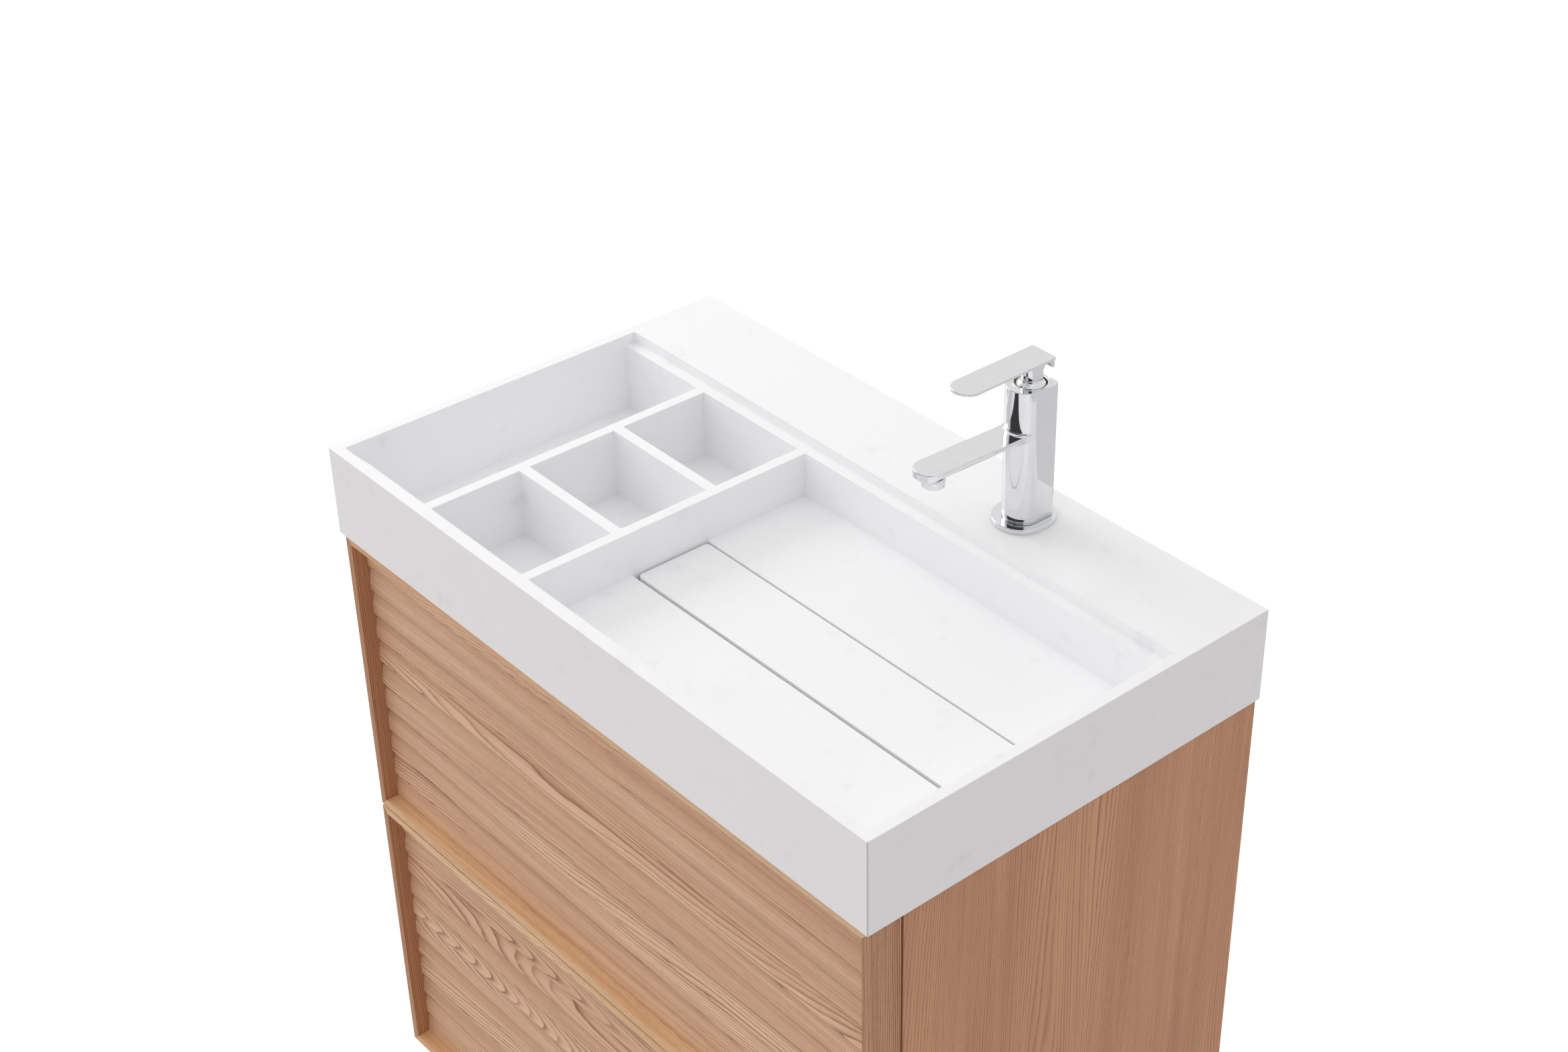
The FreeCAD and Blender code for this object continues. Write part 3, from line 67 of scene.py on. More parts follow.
class Nodes:
    """The node tree of a material or world, with short calls for what is used here."""

    def __init__(self, owner, shader):
        owner.use_nodes = True
        self.owner = owner
        self.tree = owner.node_tree
        self.shader = self.tree.nodes[shader]

    def add(self, kind, **values):
        node = self.tree.nodes.new("ShaderNode" + kind)
        for key, value in values.items():
            setattr(node, key, value)
        return node

    def put(self, value, socket):
        """Link an output, or set a plain number."""
        if isinstance(value, bpy.types.NodeSocket):
            self.tree.links.new(value, socket)
        else:
            socket.default_value = value

    def split(self, vector):
        """A vector's outputs X, Y and Z."""
        node = self.add("SeparateXYZ")
        self.put(vector, node.inputs[0])
        return node.outputs

    def place(self, turn=(0, 0, 0), shift=(0, 0, 0)):
        """Positions on the object, in metres, turned and then shifted."""
        node = self.add("Mapping")
        node.inputs["Rotation"].default_value = turn
        node.inputs["Location"].default_value = shift
        self.put(self.add("TexCoord").outputs["Object"], node.inputs["Vector"])
        return node.outputs[0]

    def noise(self, at, scale=1.0, detail=2.0, rough=0.5):
        node = self.add("TexNoise")
        self.put(at, node.inputs["Vector"])
        node.inputs["Scale"].default_value = scale
        node.inputs["Detail"].default_value = detail
        node.inputs["Roughness"].default_value = rough
        return node.outputs["Fac"]

    def math(self, kind, a, b=0.0, clamp=False):
        node = self.add("Math", operation=kind, use_clamp=clamp)
        self.put(a, node.inputs[0])
        self.put(b, node.inputs[1])
        return node.outputs[0]

    def spread(self, value, low, high, out_low=0.0, out_high=1.0, kind="LINEAR"):
        """The value's range stretched to another, clamped."""
        node = self.add("MapRange", interpolation_type=kind)
        self.put(value, node.inputs["Value"])
        ends = {"From Min": low, "From Max": high, "To Min": out_low, "To Max": out_high}
        for name, end in ends.items():
            node.inputs[name].default_value = end
        return node.outputs[0]

    def ramp(self, value, low, high):
        """A smooth step from 0 to 1."""
        return self.spread(value, low, high, kind="SMOOTHSTEP")

    def mix(self, share, a, b):
        """Two colours mixed. Each is an output or three numbers."""
        node = self.add("Mix", data_type="RGBA")
        self.put(share, node.inputs[0])
        for color, socket in ((a, node.inputs[6]), (b, node.inputs[7])):
            self.put(color if isinstance(color, bpy.types.NodeSocket) else (*color, 1), socket)
        return node.outputs[2]

    def bump(self, height, distance, strength):
        node = self.add("Bump")
        node.inputs["Strength"].default_value = strength
        node.inputs["Distance"].default_value = distance
        self.put(height, node.inputs["Height"])
        return node.outputs[0]

    def finish(self, color, roughness, normal=None, **others):
        """The material, with its colour, roughness and normal joined to the shader."""
        self.put(color, self.shader.inputs["Base Color"])
        self.put(roughness, self.shader.inputs["Roughness"])
        if normal:
            self.put(normal, self.shader.inputs["Normal"])
        for name, value in others.items():
            self.shader.inputs[name.replace("_", " ")].default_value = value
        return self.owner


def new_material(name):
    return Nodes(bpy.data.materials.new(name), "Principled BSDF")


# ---------------------------------------------------------------- camera, light and floor

CAMERA_AT = (1.5435, -1.2498, 2.1452)
CAMERA_TURN = (0.99274, -0.00315, 0.83793)
LENS, SENSOR, FAR = 57.9, 36, 60
LENS_SHIFT = (-0.0681, -0.0015)

SKY, SKY_SHOWN = 0.87, 1.02
SKY_TINT = (1.0, 0.988, 0.992, 1)
EAST = (0.1, 0.9)
EAST_DIM, EAST_REGAINED = 0.29, 0.20
DARK_TURN = math.radians(8)
DARK_SIDES, DARK_FOOT, DARK_TOP = (0.50, 0.72), (0.02, 0.10), (0.62, 0.80)
DARK_DEPTH = 0.94

LAMP_AIM = Vector((0, 0, 0.8))
FLOOR_HALF = 30
FLOOR_ROUGH = 0.9
FLOOR_COLORS = ((0.50, 0.475, 0.492), (0.95, 0.95, 0.95))
FLOOR_GLOW = (0.10, 0.42)
FLOOR_MIRRORED = 0.22


def place_camera():
    """The viewpoint that was fitted to the photo."""
    data = bpy.data.cameras.new("camera")
    data.lens, data.sensor_width, data.clip_end = LENS, SENSOR, FAR
    data.shift_x, data.shift_y = LENS_SHIFT
    camera = bpy.data.objects.new("camera", data)
    camera.location = CAMERA_AT
    camera.rotation_euler = CAMERA_TURN
    bpy.context.collection.objects.link(camera)
    bpy.context.scene.camera = camera


def light_sky():
    """A pale sky that dims to the east. The camera sees it white, and reflections see less of
    the dimming and a dark zone in front, which gives the chrome its dark edges."""
    world = bpy.data.worlds.new("studio")
    bpy.context.scene.world = world
    n = Nodes(world, "Background")
    east, north, up = n.split(n.add("TexCoord").outputs["Generated"])
    rays = n.add("LightPath").outputs
    mirrored = rays["Is Glossy Ray"]

    flat = n.math("SQRT", n.math("ADD", n.math("MULTIPLY", east, east),
                                 n.math("MULTIPLY", north, north)))
    toward = n.math("SUBTRACT", n.math("MULTIPLY", east, math.sin(DARK_TURN)),
                    n.math("MULTIPLY", north, math.cos(DARK_TURN)))
    around = n.ramp(n.math("DIVIDE", toward, flat), *DARK_SIDES)
    height = n.math("MULTIPLY", n.ramp(up, *DARK_FOOT),
                    n.math("SUBTRACT", 1.0, n.ramp(up, *DARK_TOP)))
    dark = n.math("MULTIPLY", n.math("MULTIPLY", around, height), mirrored)
    dark = n.math("MULTIPLY", dark, DARK_DEPTH)
    dim = n.math("MULTIPLY", n.ramp(east, *EAST),
                 n.math("SUBTRACT", EAST_DIM, n.math("MULTIPLY", mirrored, EAST_REGAINED)))

    sky = n.math("MULTIPLY", SKY, n.math("SUBTRACT", 1.0, dim))
    sky = n.math("MULTIPLY", sky, n.math("SUBTRACT", 1.0, dark))
    sky = n.math("MAXIMUM", sky, n.math("MULTIPLY", rays["Is Camera Ray"], SKY_SHOWN))
    n.put(sky, n.shader.inputs["Strength"])
    n.put(SKY_TINT, n.shader.inputs["Color"])


def add_lamp(name, at, size, power):
    """A rectangular lamp aimed at the slab."""
    light = bpy.data.lights.new(name, "AREA")
    light.shape = "RECTANGLE"
    light.size, light.size_y = size
    light.energy = power
    lamp = bpy.data.objects.new(name, light)
    lamp.location = at
    lamp.rotation_euler = (LAMP_AIM - Vector(at)).to_track_quat("-Z", "Y").to_euler()
    bpy.context.collection.objects.link(lamp)


def lay_floor():
    """The camera sees the floor white. Bounced light meets it as grey, so that it doesn't
    wash out the cabinet, and reflections see it only a little paler than that."""
    mesh = bpy.data.meshes.new("floor")
    corners = [(x * FLOOR_HALF, y * FLOOR_HALF, 0) for x, y in ((-1, -1), (1, -1), (1, 1), (-1, 1))]
    mesh.from_pydata(corners, [], [(0, 1, 2, 3)])
    floor = bpy.data.objects.new("floor", mesh)
    bpy.context.collection.objects.link(floor)
    n = new_material("floor")
    rays = n.add("LightPath").outputs
    share = n.math("ADD", n.math("MULTIPLY", rays["Is Glossy Ray"], FLOOR_MIRRORED),
                   rays["Is Camera Ray"])
    n.put(n.spread(share, 0.0, 1.0, *FLOOR_GLOW), n.shader.inputs["Emission Strength"])
    mesh.materials.append(n.finish(n.mix(share, *FLOOR_COLORS), FLOOR_ROUGH,
                                   Emission_Color=(1, 1, 1, 1)))


bpy.context.scene.view_settings.view_transform = "Standard"
place_camera()
light_sky()
add_lamp("overhead", (-0.2, -0.4, 3.4), (2.6, 2.2), 3)
add_lamp("left", (-2.9, -0.3, 2.5), (1.5, 1.5), 27)
lay_floor()


# ---------------------------------------------------------------- materials

# The ribs of the fluted panels, in metres: a long slope and a short roll, repeated upward.
RIB_PITCH, RIB_START, RIB_COUNT = 0.030, 0.0029, 11
RIB_SLOPE, RIB_ROLL, RIB_DEEP = 0.0220, 0.0072, 0.0030
PANEL_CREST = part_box("upper_fluted_panel")[0].y

# How fine each mark of the wood is: along the grain, in depth and across the face.
SWELL, RIPPLE = (0.9, 2.0, 8.0), (6, 12, 55)
FIBRE, PORE = (7, 500, 900), (90, 1500, 2200)
PATCH, STREAK = (1.6, 6, 16), (1.2, 40, 70)
RIPPLE_DEPTH = 0.0022
EARLYWOOD = 3.4

# |x| - y at the slab's front corners, where the aprons meet in a mitre.
SLAB_CORNER = 0.640


def wood(name, turn, shift, light, middle, dark, slope=0.5, waves=0.045, rings=600.0,
         contrast=1.0, crest=None):
    """Oiled ash. After the turn, the grain runs along X, Y is depth, and Z is across the face.
    The rings are the level lines of a wavy surface, so they run straight where it slopes and
    close into cathedrals where it is flat. With a crest, painted shade darkens the hollows behind
    it."""
    n = new_material(name)
    at = n.place(turn, shift)
    _, depth, across = n.split(at)

    def stretched(scale, detail, rough=0.5):
        mapped = n.add("Mapping")
        mapped.inputs["Scale"].default_value = scale
        n.put(at, mapped.inputs["Vector"])
        return n.noise(mapped.outputs[0], 1.0, detail, rough)

    height = n.math("ADD", n.math("MULTIPLY", stretched(SWELL, 1.2, 0.45), waves * 2), depth)
    height = n.math("ADD", height, n.math("MULTIPLY", stretched(RIPPLE, 2.0), RIPPLE_DEPTH))
    height = n.math("ADD", height, n.math("MULTIPLY", across, slope))
    count = n.math("MULTIPLY", height, rings)
    ring = n.math("FRACT", count)
    year = n.add("TexWhiteNoise", noise_dimensions="1D")
    n.put(n.math("FLOOR", count), year.inputs["W"])
    strength = n.spread(year.outputs["Value"], 0.0, 1.0, 0.5, 1.25)
    early = n.math("POWER", n.math("SUBTRACT", 1.0, ring), EARLYWOOD)
    line = n.math("MULTIPLY", early, n.spread(ring, 0.0, 0.08))
    line = n.math("MULTIPLY", line, strength)

    fibre = stretched(FIBRE, 3.0, 0.65)
    pore = n.spread(stretched(PORE, 1.0), 0.58, 0.70)
    pore = n.math("MULTIPLY", pore, n.spread(early, 0.05, 0.6, 0.15, 1.0))
    ground = n.mix(n.spread(stretched(PATCH, 2.0), 0.38, 0.62), middle, light)
    streak = n.spread(stretched(STREAK, 2.0), 0.42, 0.75, 0.0, 0.2 * contrast)
    ground = n.mix(streak, ground, dark)
    color = n.mix(n.math("MULTIPLY", line, contrast, clamp=True), ground, dark)
    color = n.mix(n.spread(fibre, 0.35, 0.7, 0.0, 0.28 * contrast), color, dark)
    color = n.mix(n.math("MULTIPLY", pore, 0.5 * contrast), color, deeper(dark, 0.5))
    # Painted shade: with a crest, the colour darkens in the hollows between the ribs, where shade
    # falls.
    if crest is not None:
        face = n.split(n.add("TexCoord").outputs["Object"])["Y"]
        hollow = n.spread(face, crest + 0.0004, crest + RIB_DEEP)
        shadow = n.math("MULTIPLY", n.math("POWER", hollow, 1.6), 0.20)
        color = n.mix(shadow, color, deeper(dark, 0.55))
    low = n.math("ADD", n.math("MULTIPLY", line, 0.5), pore)
    normal = n.bump(n.math("SUBTRACT", 1.0, low), 0.00018, 0.6)
    rough = n.spread(line, 0.0, 1.0, 0.44, 0.58)
    return n.finish(color, rough, normal, Specular_IOR_Level=0.35)


def solid_surface():
    """White acrylic-bonded stone: satin, with faint cloudy grey marks."""
    n = new_material("solid_surface")
    at = n.place()
    cloud = n.spread(n.noise(at, 9.0, 4.0, 0.6), 0.60, 0.78)
    smudge = n.spread(n.noise(at, 28.0, 3.0, 0.6), 0.62, 0.8)
    color = n.mix(n.math("MULTIPLY", cloud, 0.35), srgb(251, 251, 252), srgb(236, 236, 239))
    color = n.mix(n.math("MULTIPLY", smudge, 0.5), color, srgb(229, 229, 231))
    x, y, _ = n.split(at)
    reach = n.math("SUBTRACT", n.math("ABSOLUTE", x), y)
    mitre = n.spread(reach, SLAB_CORNER - 0.0012, SLAB_CORNER - 0.0006, 0.0, 0.55)
    color = n.mix(mitre, color, srgb(170, 158, 146))
    fine = n.noise(at, 1500.0, 2.0, 0.5)
    return n.finish(color, n.spread(cloud, 0, 1, 0.34, 0.42), n.bump(fine, 0.00003, 0.25),
                    Specular_IOR_Level=0.4)


def chrome():
    """Bright plating with a faint film that varies its gloss."""
    n = new_material("chrome")
    film = n.noise(n.place(), 60.0, 3.0, 0.5)
    return n.finish(n.mix(film, (0.77, 0.78, 0.79), (0.83, 0.84, 0.85)),
                    n.spread(film, 0.3, 0.7, 0.02, 0.06), Metallic=1.0)


def moulded(name, color, roughness, grain=900.0, depth=0.00004, metallic=0.0):
    """Moulded plastic, rubber or plated metal with a fine skin."""
    n = new_material(name)
    at = n.place()
    skin = n.noise(at, grain, 2.0, 0.5)
    shade = n.noise(at, 24.0, 3.0, 0.5)
    tint = n.mix(n.spread(shade, 0.3, 0.7), deeper(color, 0.9), color)
    return n.finish(tint, n.spread(skin, 0.2, 0.8, roughness - 0.06, roughness + 0.06),
                    n.bump(skin, depth, 0.4), Metallic=metallic)


ALONG_X = (0, 0, 0)
UPRIGHT = (math.radians(90), 0, math.radians(90))
PANEL_TONES = srgb(255, 214, 176), srgb(246, 200, 162), srgb(160, 110, 76)
RAIL_TONES = srgb(255, 224, 178), srgb(255, 208, 158), srgb(184, 118, 72)
# The stiles' tones are darker than the panels' partly as painted shade, for their recessed inner
# faces.
STILE_TONES = srgb(228, 176, 134), srgb(208, 152, 111), srgb(118, 70, 42)
# The sides' tones are darker than the panels' partly as painted shade, for the side turned from the
# light.
SIDE_TONES = srgb(226, 172, 130), srgb(214, 158, 119), srgb(152, 100, 68)
BOARD_TONES = srgb(225, 205, 175), srgb(214, 192, 160), srgb(180, 150, 115)

finishes = {
    "solid_surface": solid_surface(),
    "chrome": chrome(),
    "panel_upper": wood("ash_panel_upper", ALONG_X, (0, 0, 0.3), *PANEL_TONES, slope=0.55,
                        waves=0.06, rings=640, contrast=1.2, crest=PANEL_CREST),
    "panel_lower": wood("ash_panel_lower", ALONG_X, (3.1, 0, 1.7), *PANEL_TONES, slope=0.3,
                        waves=0.06, rings=620, contrast=1.15, crest=PANEL_CREST),
    "rails": wood("ash_rails", ALONG_X, (5.3, 0.1, 0.9), *RAIL_TONES, slope=0.45,
                  waves=0.05, rings=950, contrast=1.2),
    "stiles": wood("ash_stiles", UPRIGHT, (1.3, 0.4, 0.2), *STILE_TONES, slope=0.9,
                   waves=0.02, rings=520, contrast=1.3),
    "sides": wood("ash_sides", UPRIGHT, (2.2, 0.1, 0.5), *SIDE_TONES, slope=0.62,
                  waves=0.05, rings=560, contrast=0.9),
    "board": wood("pale_board", ALONG_X, (8.0, 0, 0), *BOARD_TONES, contrast=0.5),
    "white_plastic": moulded("white_plastic", (0.82, 0.82, 0.81), 0.3),
    "grey_plastic": moulded("grey_plastic", (0.3, 0.31, 0.32), 0.45),
    "black_plastic": moulded("black_plastic", (0.025, 0.025, 0.027), 0.45),
    "grey_rubber": moulded("grey_rubber", (0.25, 0.25, 0.25), 0.7, 1400.0, 0.00008),
    "zinc_steel": moulded("zinc_steel", (0.62, 0.63, 0.65), 0.32, 700.0, 0.00003, 1.0),
    "brass": moulded("brass", (0.72, 0.55, 0.25), 0.28, 900.0, 0.00003, 1.0),
}

SLOT_FINISH = {"ash_veneer": "sides", "pale_board": "board"}
NODE_FINISH = {"upper_front_rails": "rails", "lower_front_rails": "rails",
               "upper_front_stiles": "stiles", "lower_front_stiles": "stiles"}


# ---------------------------------------------------------------- helpers for every piece

SHARP_ANGLE = math.radians(30)


def soften(piece, width, segments, weighed=False):
    """Join the split vertices and round the sharp edges, or those with a bevel weight."""
    weld = piece.modifiers.new("weld", "WELD")
    weld.merge_threshold = 0.00002
    bevel = piece.modifiers.new("soft_edges", "BEVEL")
    bevel.width = width
    bevel.segments = segments
    bevel.limit_method = "WEIGHT" if weighed else "ANGLE"
    bevel.angle_limit = SHARP_ANGLE
    bevel.harden_normals = True
    bevel.use_clamp_overlap = True


def add_piece(name, mesh, body, slot_name, finish, *replaced):
    """A new piece on a body, with its finish, standing for the nodes named. Its slot name is not
    used.
    """
    thing = bpy.data.objects.new(name, mesh)
    bpy.context.collection.objects.link(thing)
    mesh.materials.append(finishes[finish])
    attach(thing, body)
    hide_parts(*replaced)
    return thing


def arc_radius(reach, rise):
    """The radius of an arc that falls by the rise over the reach to one side."""
    return (reach ** 2 + rise ** 2) / (2 * rise)


# ---------------------------------------------------------------- the slab, as one seamless casting

SLAB = ("front_apron", "left_apron", "right_apron", "back_apron", "front_inner_wall",
        "back_inner_wall", "long_dividers", "cell_dividers", "tap_deck", "tray_floor",
        "basin_floor", "trough_walls", "trough_bottom")
DRAIN_SLOT = ((-0.0955, -0.0988, 0.762), (0.3825, -0.0081, 0.789))
BASIN_Z = 0.788
SLAB_ROUND, SLOT_ROUND = 0.0011, 0.0030
SAME_PLACE = 1e-5
FLAT_ANGLE = 0.02
EDGE_ANGLE = 0.5
QUAD = ((0, 0), (1, 0), (1, 1), (0, 1))


def solids(node):
    """The lowest and highest corners of each separate solid in a node."""
    work = bmesh.new()
    work.from_mesh(nodes[node].data)
    bmesh.ops.remove_doubles(work, verts=work.verts, dist=SAME_PLACE)
    left = set(work.verts)
    while left:
        reached, waiting = set(), {left.pop()}
        while waiting:
            vertex = waiting.pop()
            reached.add(vertex)
            waiting |= {e.other_vert(vertex) for e in vertex.link_edges} - reached
        left -= reached
        places = np.array([v.co for v in reached])
        yield places.min(0), places.max(0)
    work.free()


def from_blocks(name, blocks, hollow):
    """One mesh round all the blocks less the hollow, with nothing left inside where they touch."""
    corners = np.round(np.array([*blocks, hollow]).reshape(-1, 3), 6)
    planes = [np.unique(corners[:, axis]) for axis in range(3)]
    x, y, z = np.meshgrid(*[(p[1:] + p[:-1]) / 2 for p in planes], indexing="ij")

    def within(block):
        (x0, y0, z0), (x1, y1, z1) = block
        return (x > x0) & (x < x1) & (y > y0) & (y < y1) & (z > z0) & (z < z1)

    full = np.pad(np.any([within(b) for b in blocks], axis=0) & ~within(hollow), 1)
    work = bmesh.new()
    made = {}

    def corner(index):
        if index not in made:
            made[index] = work.verts.new([planes[a][index[a]] for a in range(3)])
        return made[index]

    for axis in range(3):
        along, across = (axis + 1) % 3, (axis + 2) % 3
        change = np.diff(full.astype(int), axis=axis)
        for spot in np.argwhere(change):
            base = [s - 1 for s in spot]
            base[axis] += 1
            ring = []
            for du, dv in QUAD:
                index = list(base)
                index[along] += du
                index[across] += dv
                ring.append(corner(tuple(index)))
            work.faces.new(ring if change[tuple(spot)] < 0 else ring[::-1])
    bmesh.ops.dissolve_limit(work, angle_limit=FLAT_ANGLE, verts=work.verts, edges=work.edges)
    mesh = bpy.data.meshes.new(name)
    work.to_mesh(mesh)
    work.free()
    return mesh


def weigh_edges(mesh):
    """Bevel weights: the slot's rim is rounded most, every other sharp edge a little."""
    (_, front, _), (right, back, _) = DRAIN_SLOT

    def on_rim(a, b):
        x, y, _ = (a + b) / 2
        level = max(abs(a.z - BASIN_Z), abs(b.z - BASIN_Z)) < SAME_PLACE
        return level and min(abs(y - front), abs(y - back), abs(x - right)) < SAME_PLACE

    work = bmesh.new()
    work.from_mesh(mesh)
    weight = work.edges.layers.float.new("bevel_weight_edge")
    for edge in work.edges:
        if edge.calc_face_angle(0) >= EDGE_ANGLE:
            ends = (v.co for v in edge.verts)
            edge[weight] = 1.0 if on_rim(*ends) else SLAB_ROUND / SLOT_ROUND
    work.to_mesh(mesh)
    work.free()


slab_blocks = [block for node in SLAB for block in solids(node)]
slab = add_piece("slab", from_blocks("slab", slab_blocks, DRAIN_SLOT),
                 "vanity", "solid_surface", "solid_surface", *SLAB)
weigh_edges(slab.data)
soften(slab, SLOT_ROUND, 3, weighed=True)


# ---------------------------------------------------------------- the tap, from distance functions

SETTLE_ROUNDS = 5


def surface(name, low, high, step, distance):
    """The zero surface of a distance function given in millimetres, as quads with true normals."""
    low = np.array(low, float)
    counts = np.ceil((np.array(high) - low) / step).astype(int) + 1
    axes = [low[a] + step * np.arange(counts[a]) for a in range(3)]
    inside = distance(*np.meshgrid(*axes, indexing="ij")) < 0
    ci, cj, ck = counts - 1
    corners = sum(inside[i:ci + i, j:cj + j, k:ck + k].astype(int)
                  for i in (0, 1) for j in (0, 1) for k in (0, 1))
    crossed = (corners > 0) & (corners < 8)
    order = np.full(crossed.shape, -1)
    order[crossed] = np.arange(crossed.sum())
    points = low + (np.argwhere(crossed) + 0.5) * step

    def slope(at, reach=0.01):
        sides = [(distance(*(at + reach * unit).T) - distance(*(at - reach * unit).T))
                 / (2 * reach) for unit in np.eye(3)]
        return np.stack(sides, axis=1)

    for _ in range(SETTLE_ROUNDS):
        grad = slope(points)
        steep = np.maximum((grad ** 2).sum(1), 0.2)[:, None]
        move = distance(*points.T)[:, None] * grad / steep
        points -= np.clip(move, -step, step)
    quads = []
    for axis in range(3):
        along, across = (axis + 1) % 3, (axis + 2) % 3
        change = np.diff(inside.astype(int), axis=axis)
        spots = np.argwhere(change)
        keep = ((spots[:, along] > 0) & (spots[:, along] < counts[along] - 1)
                & (spots[:, across] > 0) & (spots[:, across] < counts[across] - 1))
        spots = spots[keep]
        turn = change[tuple(spots.T)]
        ring = []
        for du, dv in QUAD:
            cell = spots.copy()
            cell[:, along] -= 1 - du
            cell[:, across] -= 1 - dv
            ring.append(order[tuple(cell.T)])
        ring = np.stack(ring, axis=1)
        ring[turn > 0] = ring[turn > 0][:, ::-1]
        quads.append(ring)
    normals = slope(points)
    normals /= np.linalg.norm(normals, axis=1)[:, None]
    mesh = bpy.data.meshes.new(name)
    mesh.from_pydata((points / 1000).tolist(), [], np.concatenate(quads).tolist())
    mesh.shade_smooth()
    mesh.normals_split_custom_set_from_vertices(normals.tolist())
    return mesh


def meet(a, b, edge):
    """Where two shapes overlap, with a rounded outside edge."""
    da, db = a + edge, b + edge
    outside = np.hypot(np.maximum(da, 0), np.maximum(db, 0))
    return outside + np.minimum(np.maximum(da, db), 0) - edge


def rectangle(u, v, half_u, half_v, corner):
    """A rounded rectangle about the origin."""
    return meet(np.abs(u) - half_u, np.abs(v) - half_v, corner)


def prism(flat, z, low, high, edge):
    """A flat outline between two heights, with rounded edges."""
    return meet(flat, np.abs(z - (low + high) / 2) - (high - low) / 2, edge)


def tongue(x, y, half, front, back, corner):
    """An outline with a round front end and a square back end."""
    centre = front + half
    long = (back - centre) + 2 * half
    behind = rectangle(x, y - (back - long / 2), half, long / 2, corner)
    return np.where(y < centre, np.hypot(x, y - centre) - half, behind)


def melt(a, b, size):
    """Two shapes joined with a fillet."""
    share = np.maximum(size - np.abs(a - b), 0) / size
    return np.minimum(a, b) - share * share * size / 4


# Millimetres. Half widths are across X, fronts and backs along Y, and the last number of a
# rounded outline or edge is its radius.
TAP_X, AXIS_Y, PIVOT_Z = 146.0, 185.0, 985.5

BODY_HALF, BODY_FRONT, BODY_BACK = 19.5, 159.5, 204.0
BODY_Z = (857.5, 997.0)
BORES = ((18.35, 994.0), (17.4, 976.5), (13.0, 945.5))
AERATOR_Y, AERATOR_RADIUS, AERATOR_TOP = 64.7, 11.05, 945.2

SPOUT_TIP = (45.0, 956.3)
SPOUT_RISE = math.radians(1.9)
SPOUT_HALF, SPOUT_LONG = 16.0, 134.0
SPOUT_THICK, SPOUT_EDGE, SPOUT_NOSE = 12.0, 4.5, 8.0

LEVER_HALF, LEVER_FRONT = 15.5, 89.0
LEVER_Z = (1019.8, 1022.9)
LEVER_BACK, BEND_SIZE, BEND_ROUND = 203.0, 80.0, 3.0
LIP_HALF, LIP_THICK, LIP_FOOT = 12.5, 3.0, 1010.5
NECK_HALF, NECK_BACK = 9.5, 192.0
NECK_Z = (996.0, 1020.0)
GUSSET_FRONT, GUSSET_BACK = 190.0, 201.0
GUSSET_FOOT, GUSSET_LEAN = 1012.0, (0.77, 0.64)
DOME_RADIUS, DOME_FLOOR = 17.3, 995.5
SCREW_Z, SCREW_RADIUS, SCREW_FRONT = 1004.0, 2.5, 190.0


def spout(x, y, z):
    """A flat tongue that rises a little to its tip, with a bowed underside and nose."""
    back, up = y - SPOUT_TIP[0], z - SPOUT_TIP[1]
    along = back * math.cos(SPOUT_RISE) - up * math.sin(SPOUT_RISE)
    top = back * math.sin(SPOUT_RISE) + up * math.cos(SPOUT_RISE)
    plan = tongue(x, along, SPOUT_HALF, 0.0, SPOUT_LONG, 1.0)
    bow = arc_radius(SPOUT_HALF, SPOUT_THICK - SPOUT_EDGE)
    under = np.hypot(x, top - bow + SPOUT_THICK) - bow
    nose = arc_radius(SPOUT_HALF, SPOUT_THICK - SPOUT_NOSE)
    chin = np.hypot(np.minimum(along - SPOUT_HALF, 0), top - nose + SPOUT_THICK) - nose
    under = -melt(-under, -chin, 3.0)
    return -melt(-meet(plan, top, 0.7), -under, 1.2)


def tap_body(x, y, z):
    """The upright casting with its spout, stepped bore and the aerator's pocket."""
    x = x - TAP_X
    casting = prism(tongue(x, y, BODY_HALF, BODY_FRONT, BODY_BACK, 5.0), z, *BODY_Z, 0.5)
    casting = melt(casting, spout(x, y, z), 3.0)
    from_axis = np.hypot(x, y - AXIS_Y)
    for radius, floor in BORES:
        casting = np.maximum(casting, -np.maximum(from_axis - radius, floor - z))
    pocket = np.maximum(np.hypot(x, y - AERATOR_Y) - AERATOR_RADIUS, z - AERATOR_TOP)
    return np.maximum(casting, -pocket)


def tap_lever(x, y, z):
    """The plate with its back lip, on a neck with a gusset, on a dome about the pivot."""
    x = x - TAP_X
    outline = tongue(x, y, LEVER_HALF, LEVER_FRONT, LEVER_BACK, 4.0)
    lip = rectangle(x, y - (LEVER_BACK - LIP_THICK / 2), LIP_HALF, LIP_THICK / 2, 0.7)
    plate = melt(prism(outline, z, *LEVER_Z, 0.7), prism(lip, z, LIP_FOOT, LEVER_Z[1], 0.7), 1.5)
    bend = rectangle(y - (LEVER_BACK - BEND_SIZE), z - LEVER_Z[1] + BEND_SIZE,
                     BEND_SIZE, BEND_SIZE, BEND_ROUND)
    plate = np.maximum(plate, bend)

    outline = tongue(x, y, NECK_HALF, AXIS_Y - NECK_HALF, NECK_BACK, 1.5)
    neck = prism(outline, z, *NECK_Z, 0.5)
    lean = (y - NECK_BACK) * GUSSET_LEAN[0] - (z - GUSSET_FOOT) * GUSSET_LEAN[1]
    gusset = np.maximum.reduce([np.abs(x) - NECK_HALF, GUSSET_FRONT - y, lean, z - NECK_Z[1],
                                y - GUSSET_BACK])
    neck = melt(neck, gusset, 1.0)

    ball = np.sqrt(x ** 2 + (y - AXIS_Y) ** 2 + (z - PIVOT_Z) ** 2) - DOME_RADIUS
    dome = meet(ball, DOME_FLOOR - z, 0.5)
    shape = melt(melt(dome, neck, 1.5), plate, 3.0)
    screw_hole = np.maximum(np.hypot(x, z - SCREW_Z) - SCREW_RADIUS, SCREW_FRONT - y)
    return np.maximum(shape, -screw_hole)


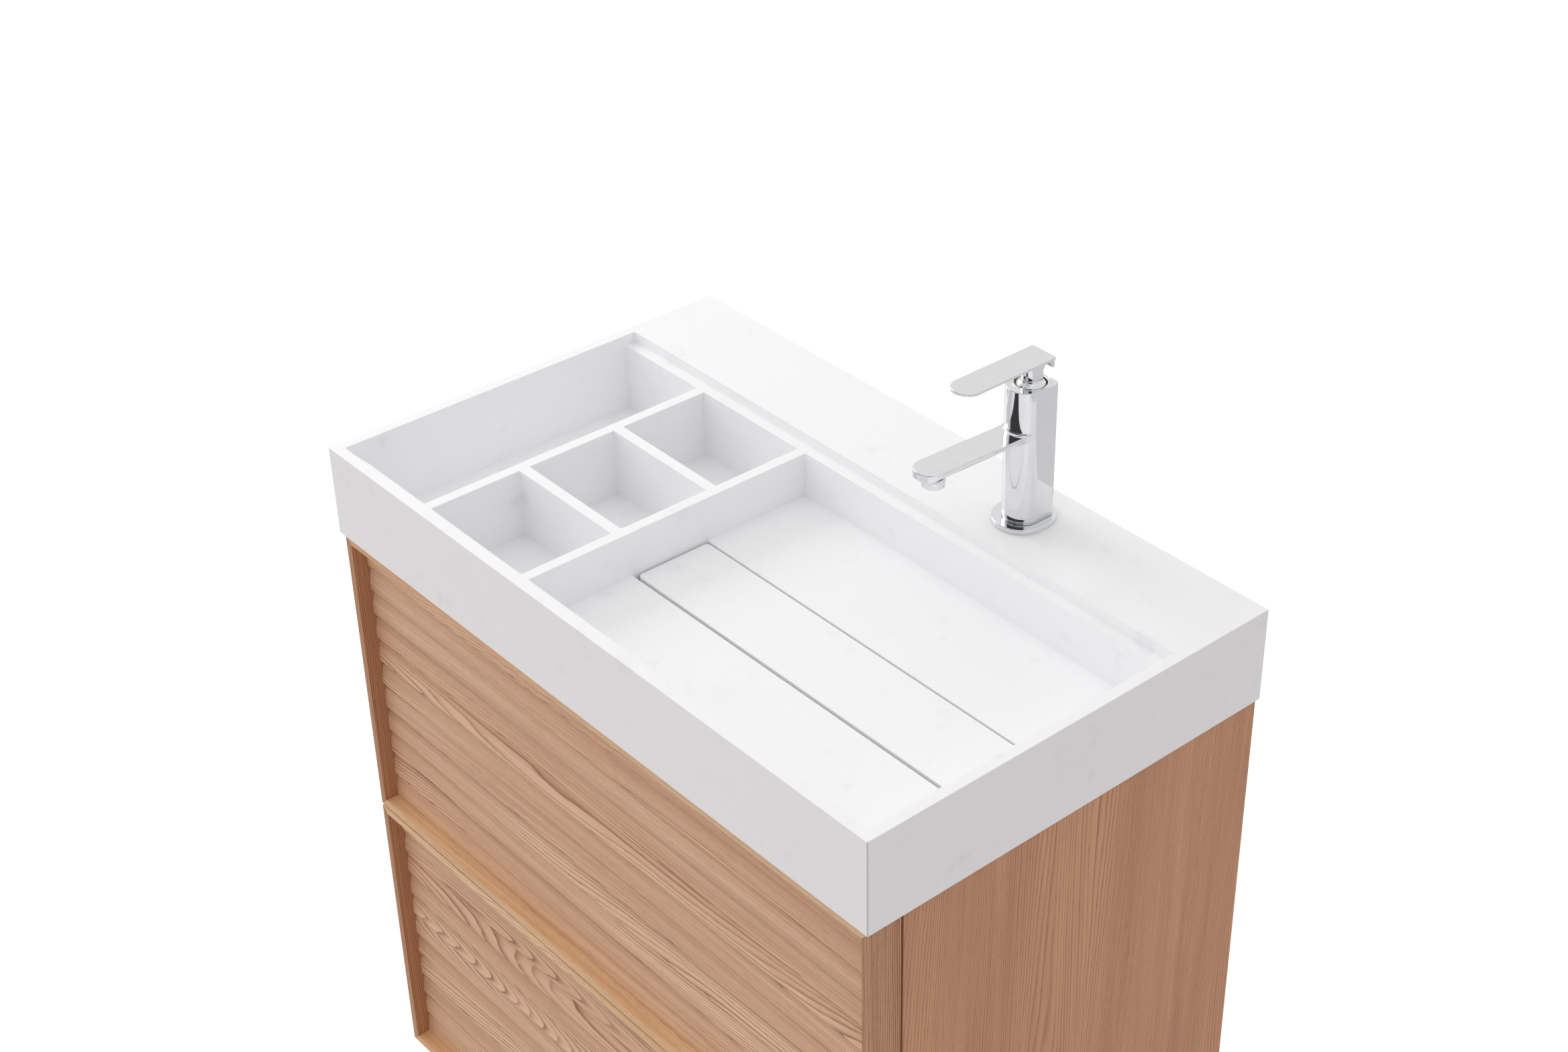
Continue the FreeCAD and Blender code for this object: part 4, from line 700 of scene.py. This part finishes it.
tap_mesh = surface("tap_casting", (125, 43, 856), (167, 206, 999), 0.7, tap_body)
add_piece("tap_casting", tap_mesh, "vanity", "chrome", "chrome", "tap_body")
lever_mesh = surface("lever_casting", (129, 87, 994), (163, 205, 1025), 0.55, tap_lever)
add_piece("lever_casting", lever_mesh, "lever", "chrome", "chrome", "tap_lever")


# ---------------------------------------------------------------- the drawers' ribbed panels

SLOPE_STEPS, ROLL_STEPS = 16, 8
CREASE_ANGLE = math.radians(25)


def rib_depth(height):
    """How far the ribbed face lies behind its crests, at a height above the panel's lower edge."""
    def fall(reach, distance):
        radius = arc_radius(reach, RIB_DEEP)
        return radius - math.sqrt(radius ** 2 - distance ** 2)
    if height < RIB_START:
        return 0.0
    step = (height - RIB_START) % RIB_PITCH
    if step <= RIB_SLOPE:
        return fall(RIB_SLOPE, step)
    return fall(RIB_ROLL, max(RIB_SLOPE + RIB_ROLL - step, 0.0))


def ribbed(node):
    """The panel with its long slopes and short rolls, swept across the front."""
    (x0, y0, z0), (x1, y1, z1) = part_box(node)
    heights = {0.0, z1 - z0}
    for rib in range(RIB_COUNT):
        crest = RIB_START + rib * RIB_PITCH
        heights |= {crest + RIB_SLOPE * i / SLOPE_STEPS for i in range(SLOPE_STEPS + 1)}
        heights |= {crest + RIB_SLOPE + RIB_ROLL * i / ROLL_STEPS for i in range(ROLL_STEPS + 1)}
    heights = sorted(h for h in heights if h <= z1 - z0)
    outline = [(y0 + rib_depth(h), z0 + h) for h in heights] + [(y1, z1), (y1, z0)]
    count = len(outline)
    points = [(x, y, z) for x in (x0, x1) for y, z in outline]
    faces = [(i + count, (i + 1) % count + count, (i + 1) % count, i) for i in range(count)]
    faces += [tuple(range(count)), tuple(range(2 * count - 1, count - 1, -1))]
    mesh = bpy.data.meshes.new(node)
    mesh.from_pydata(points, [], faces)
    mesh.shade_smooth()
    mesh.set_sharp_from_angle(angle=CREASE_ANGLE)
    return mesh


for drawer in ("upper", "lower"):
    panel = f"{drawer}_fluted_panel"
    add_piece(f"{drawer}_ribbed_face", ribbed(panel), f"{drawer}_drawer", "ash_veneer",
              f"panel_{drawer}", panel)


# ---------------------------------------------------------------- finishes on the CAD parts

# The width and the number of segments of each slot's rounded edges.
EDGE = {"solid_surface": (0.0022, 3), "chrome": (0.0006, 3), "ash_veneer": (0.0007, 2)}
FINE_EDGE = (0.0003, 2)

for part in frame["record"]["subparts"]:
    node, slot_name = part["node"], part["material_slot"]
    finish = NODE_FINISH.get(node, SLOT_FINISH.get(slot_name, slot_name))
    piece = nodes[node]
    piece.data.materials.clear()
    piece.data.materials.append(finishes[finish])
    soften(piece, *EDGE.get(slot_name, FINE_EDGE))
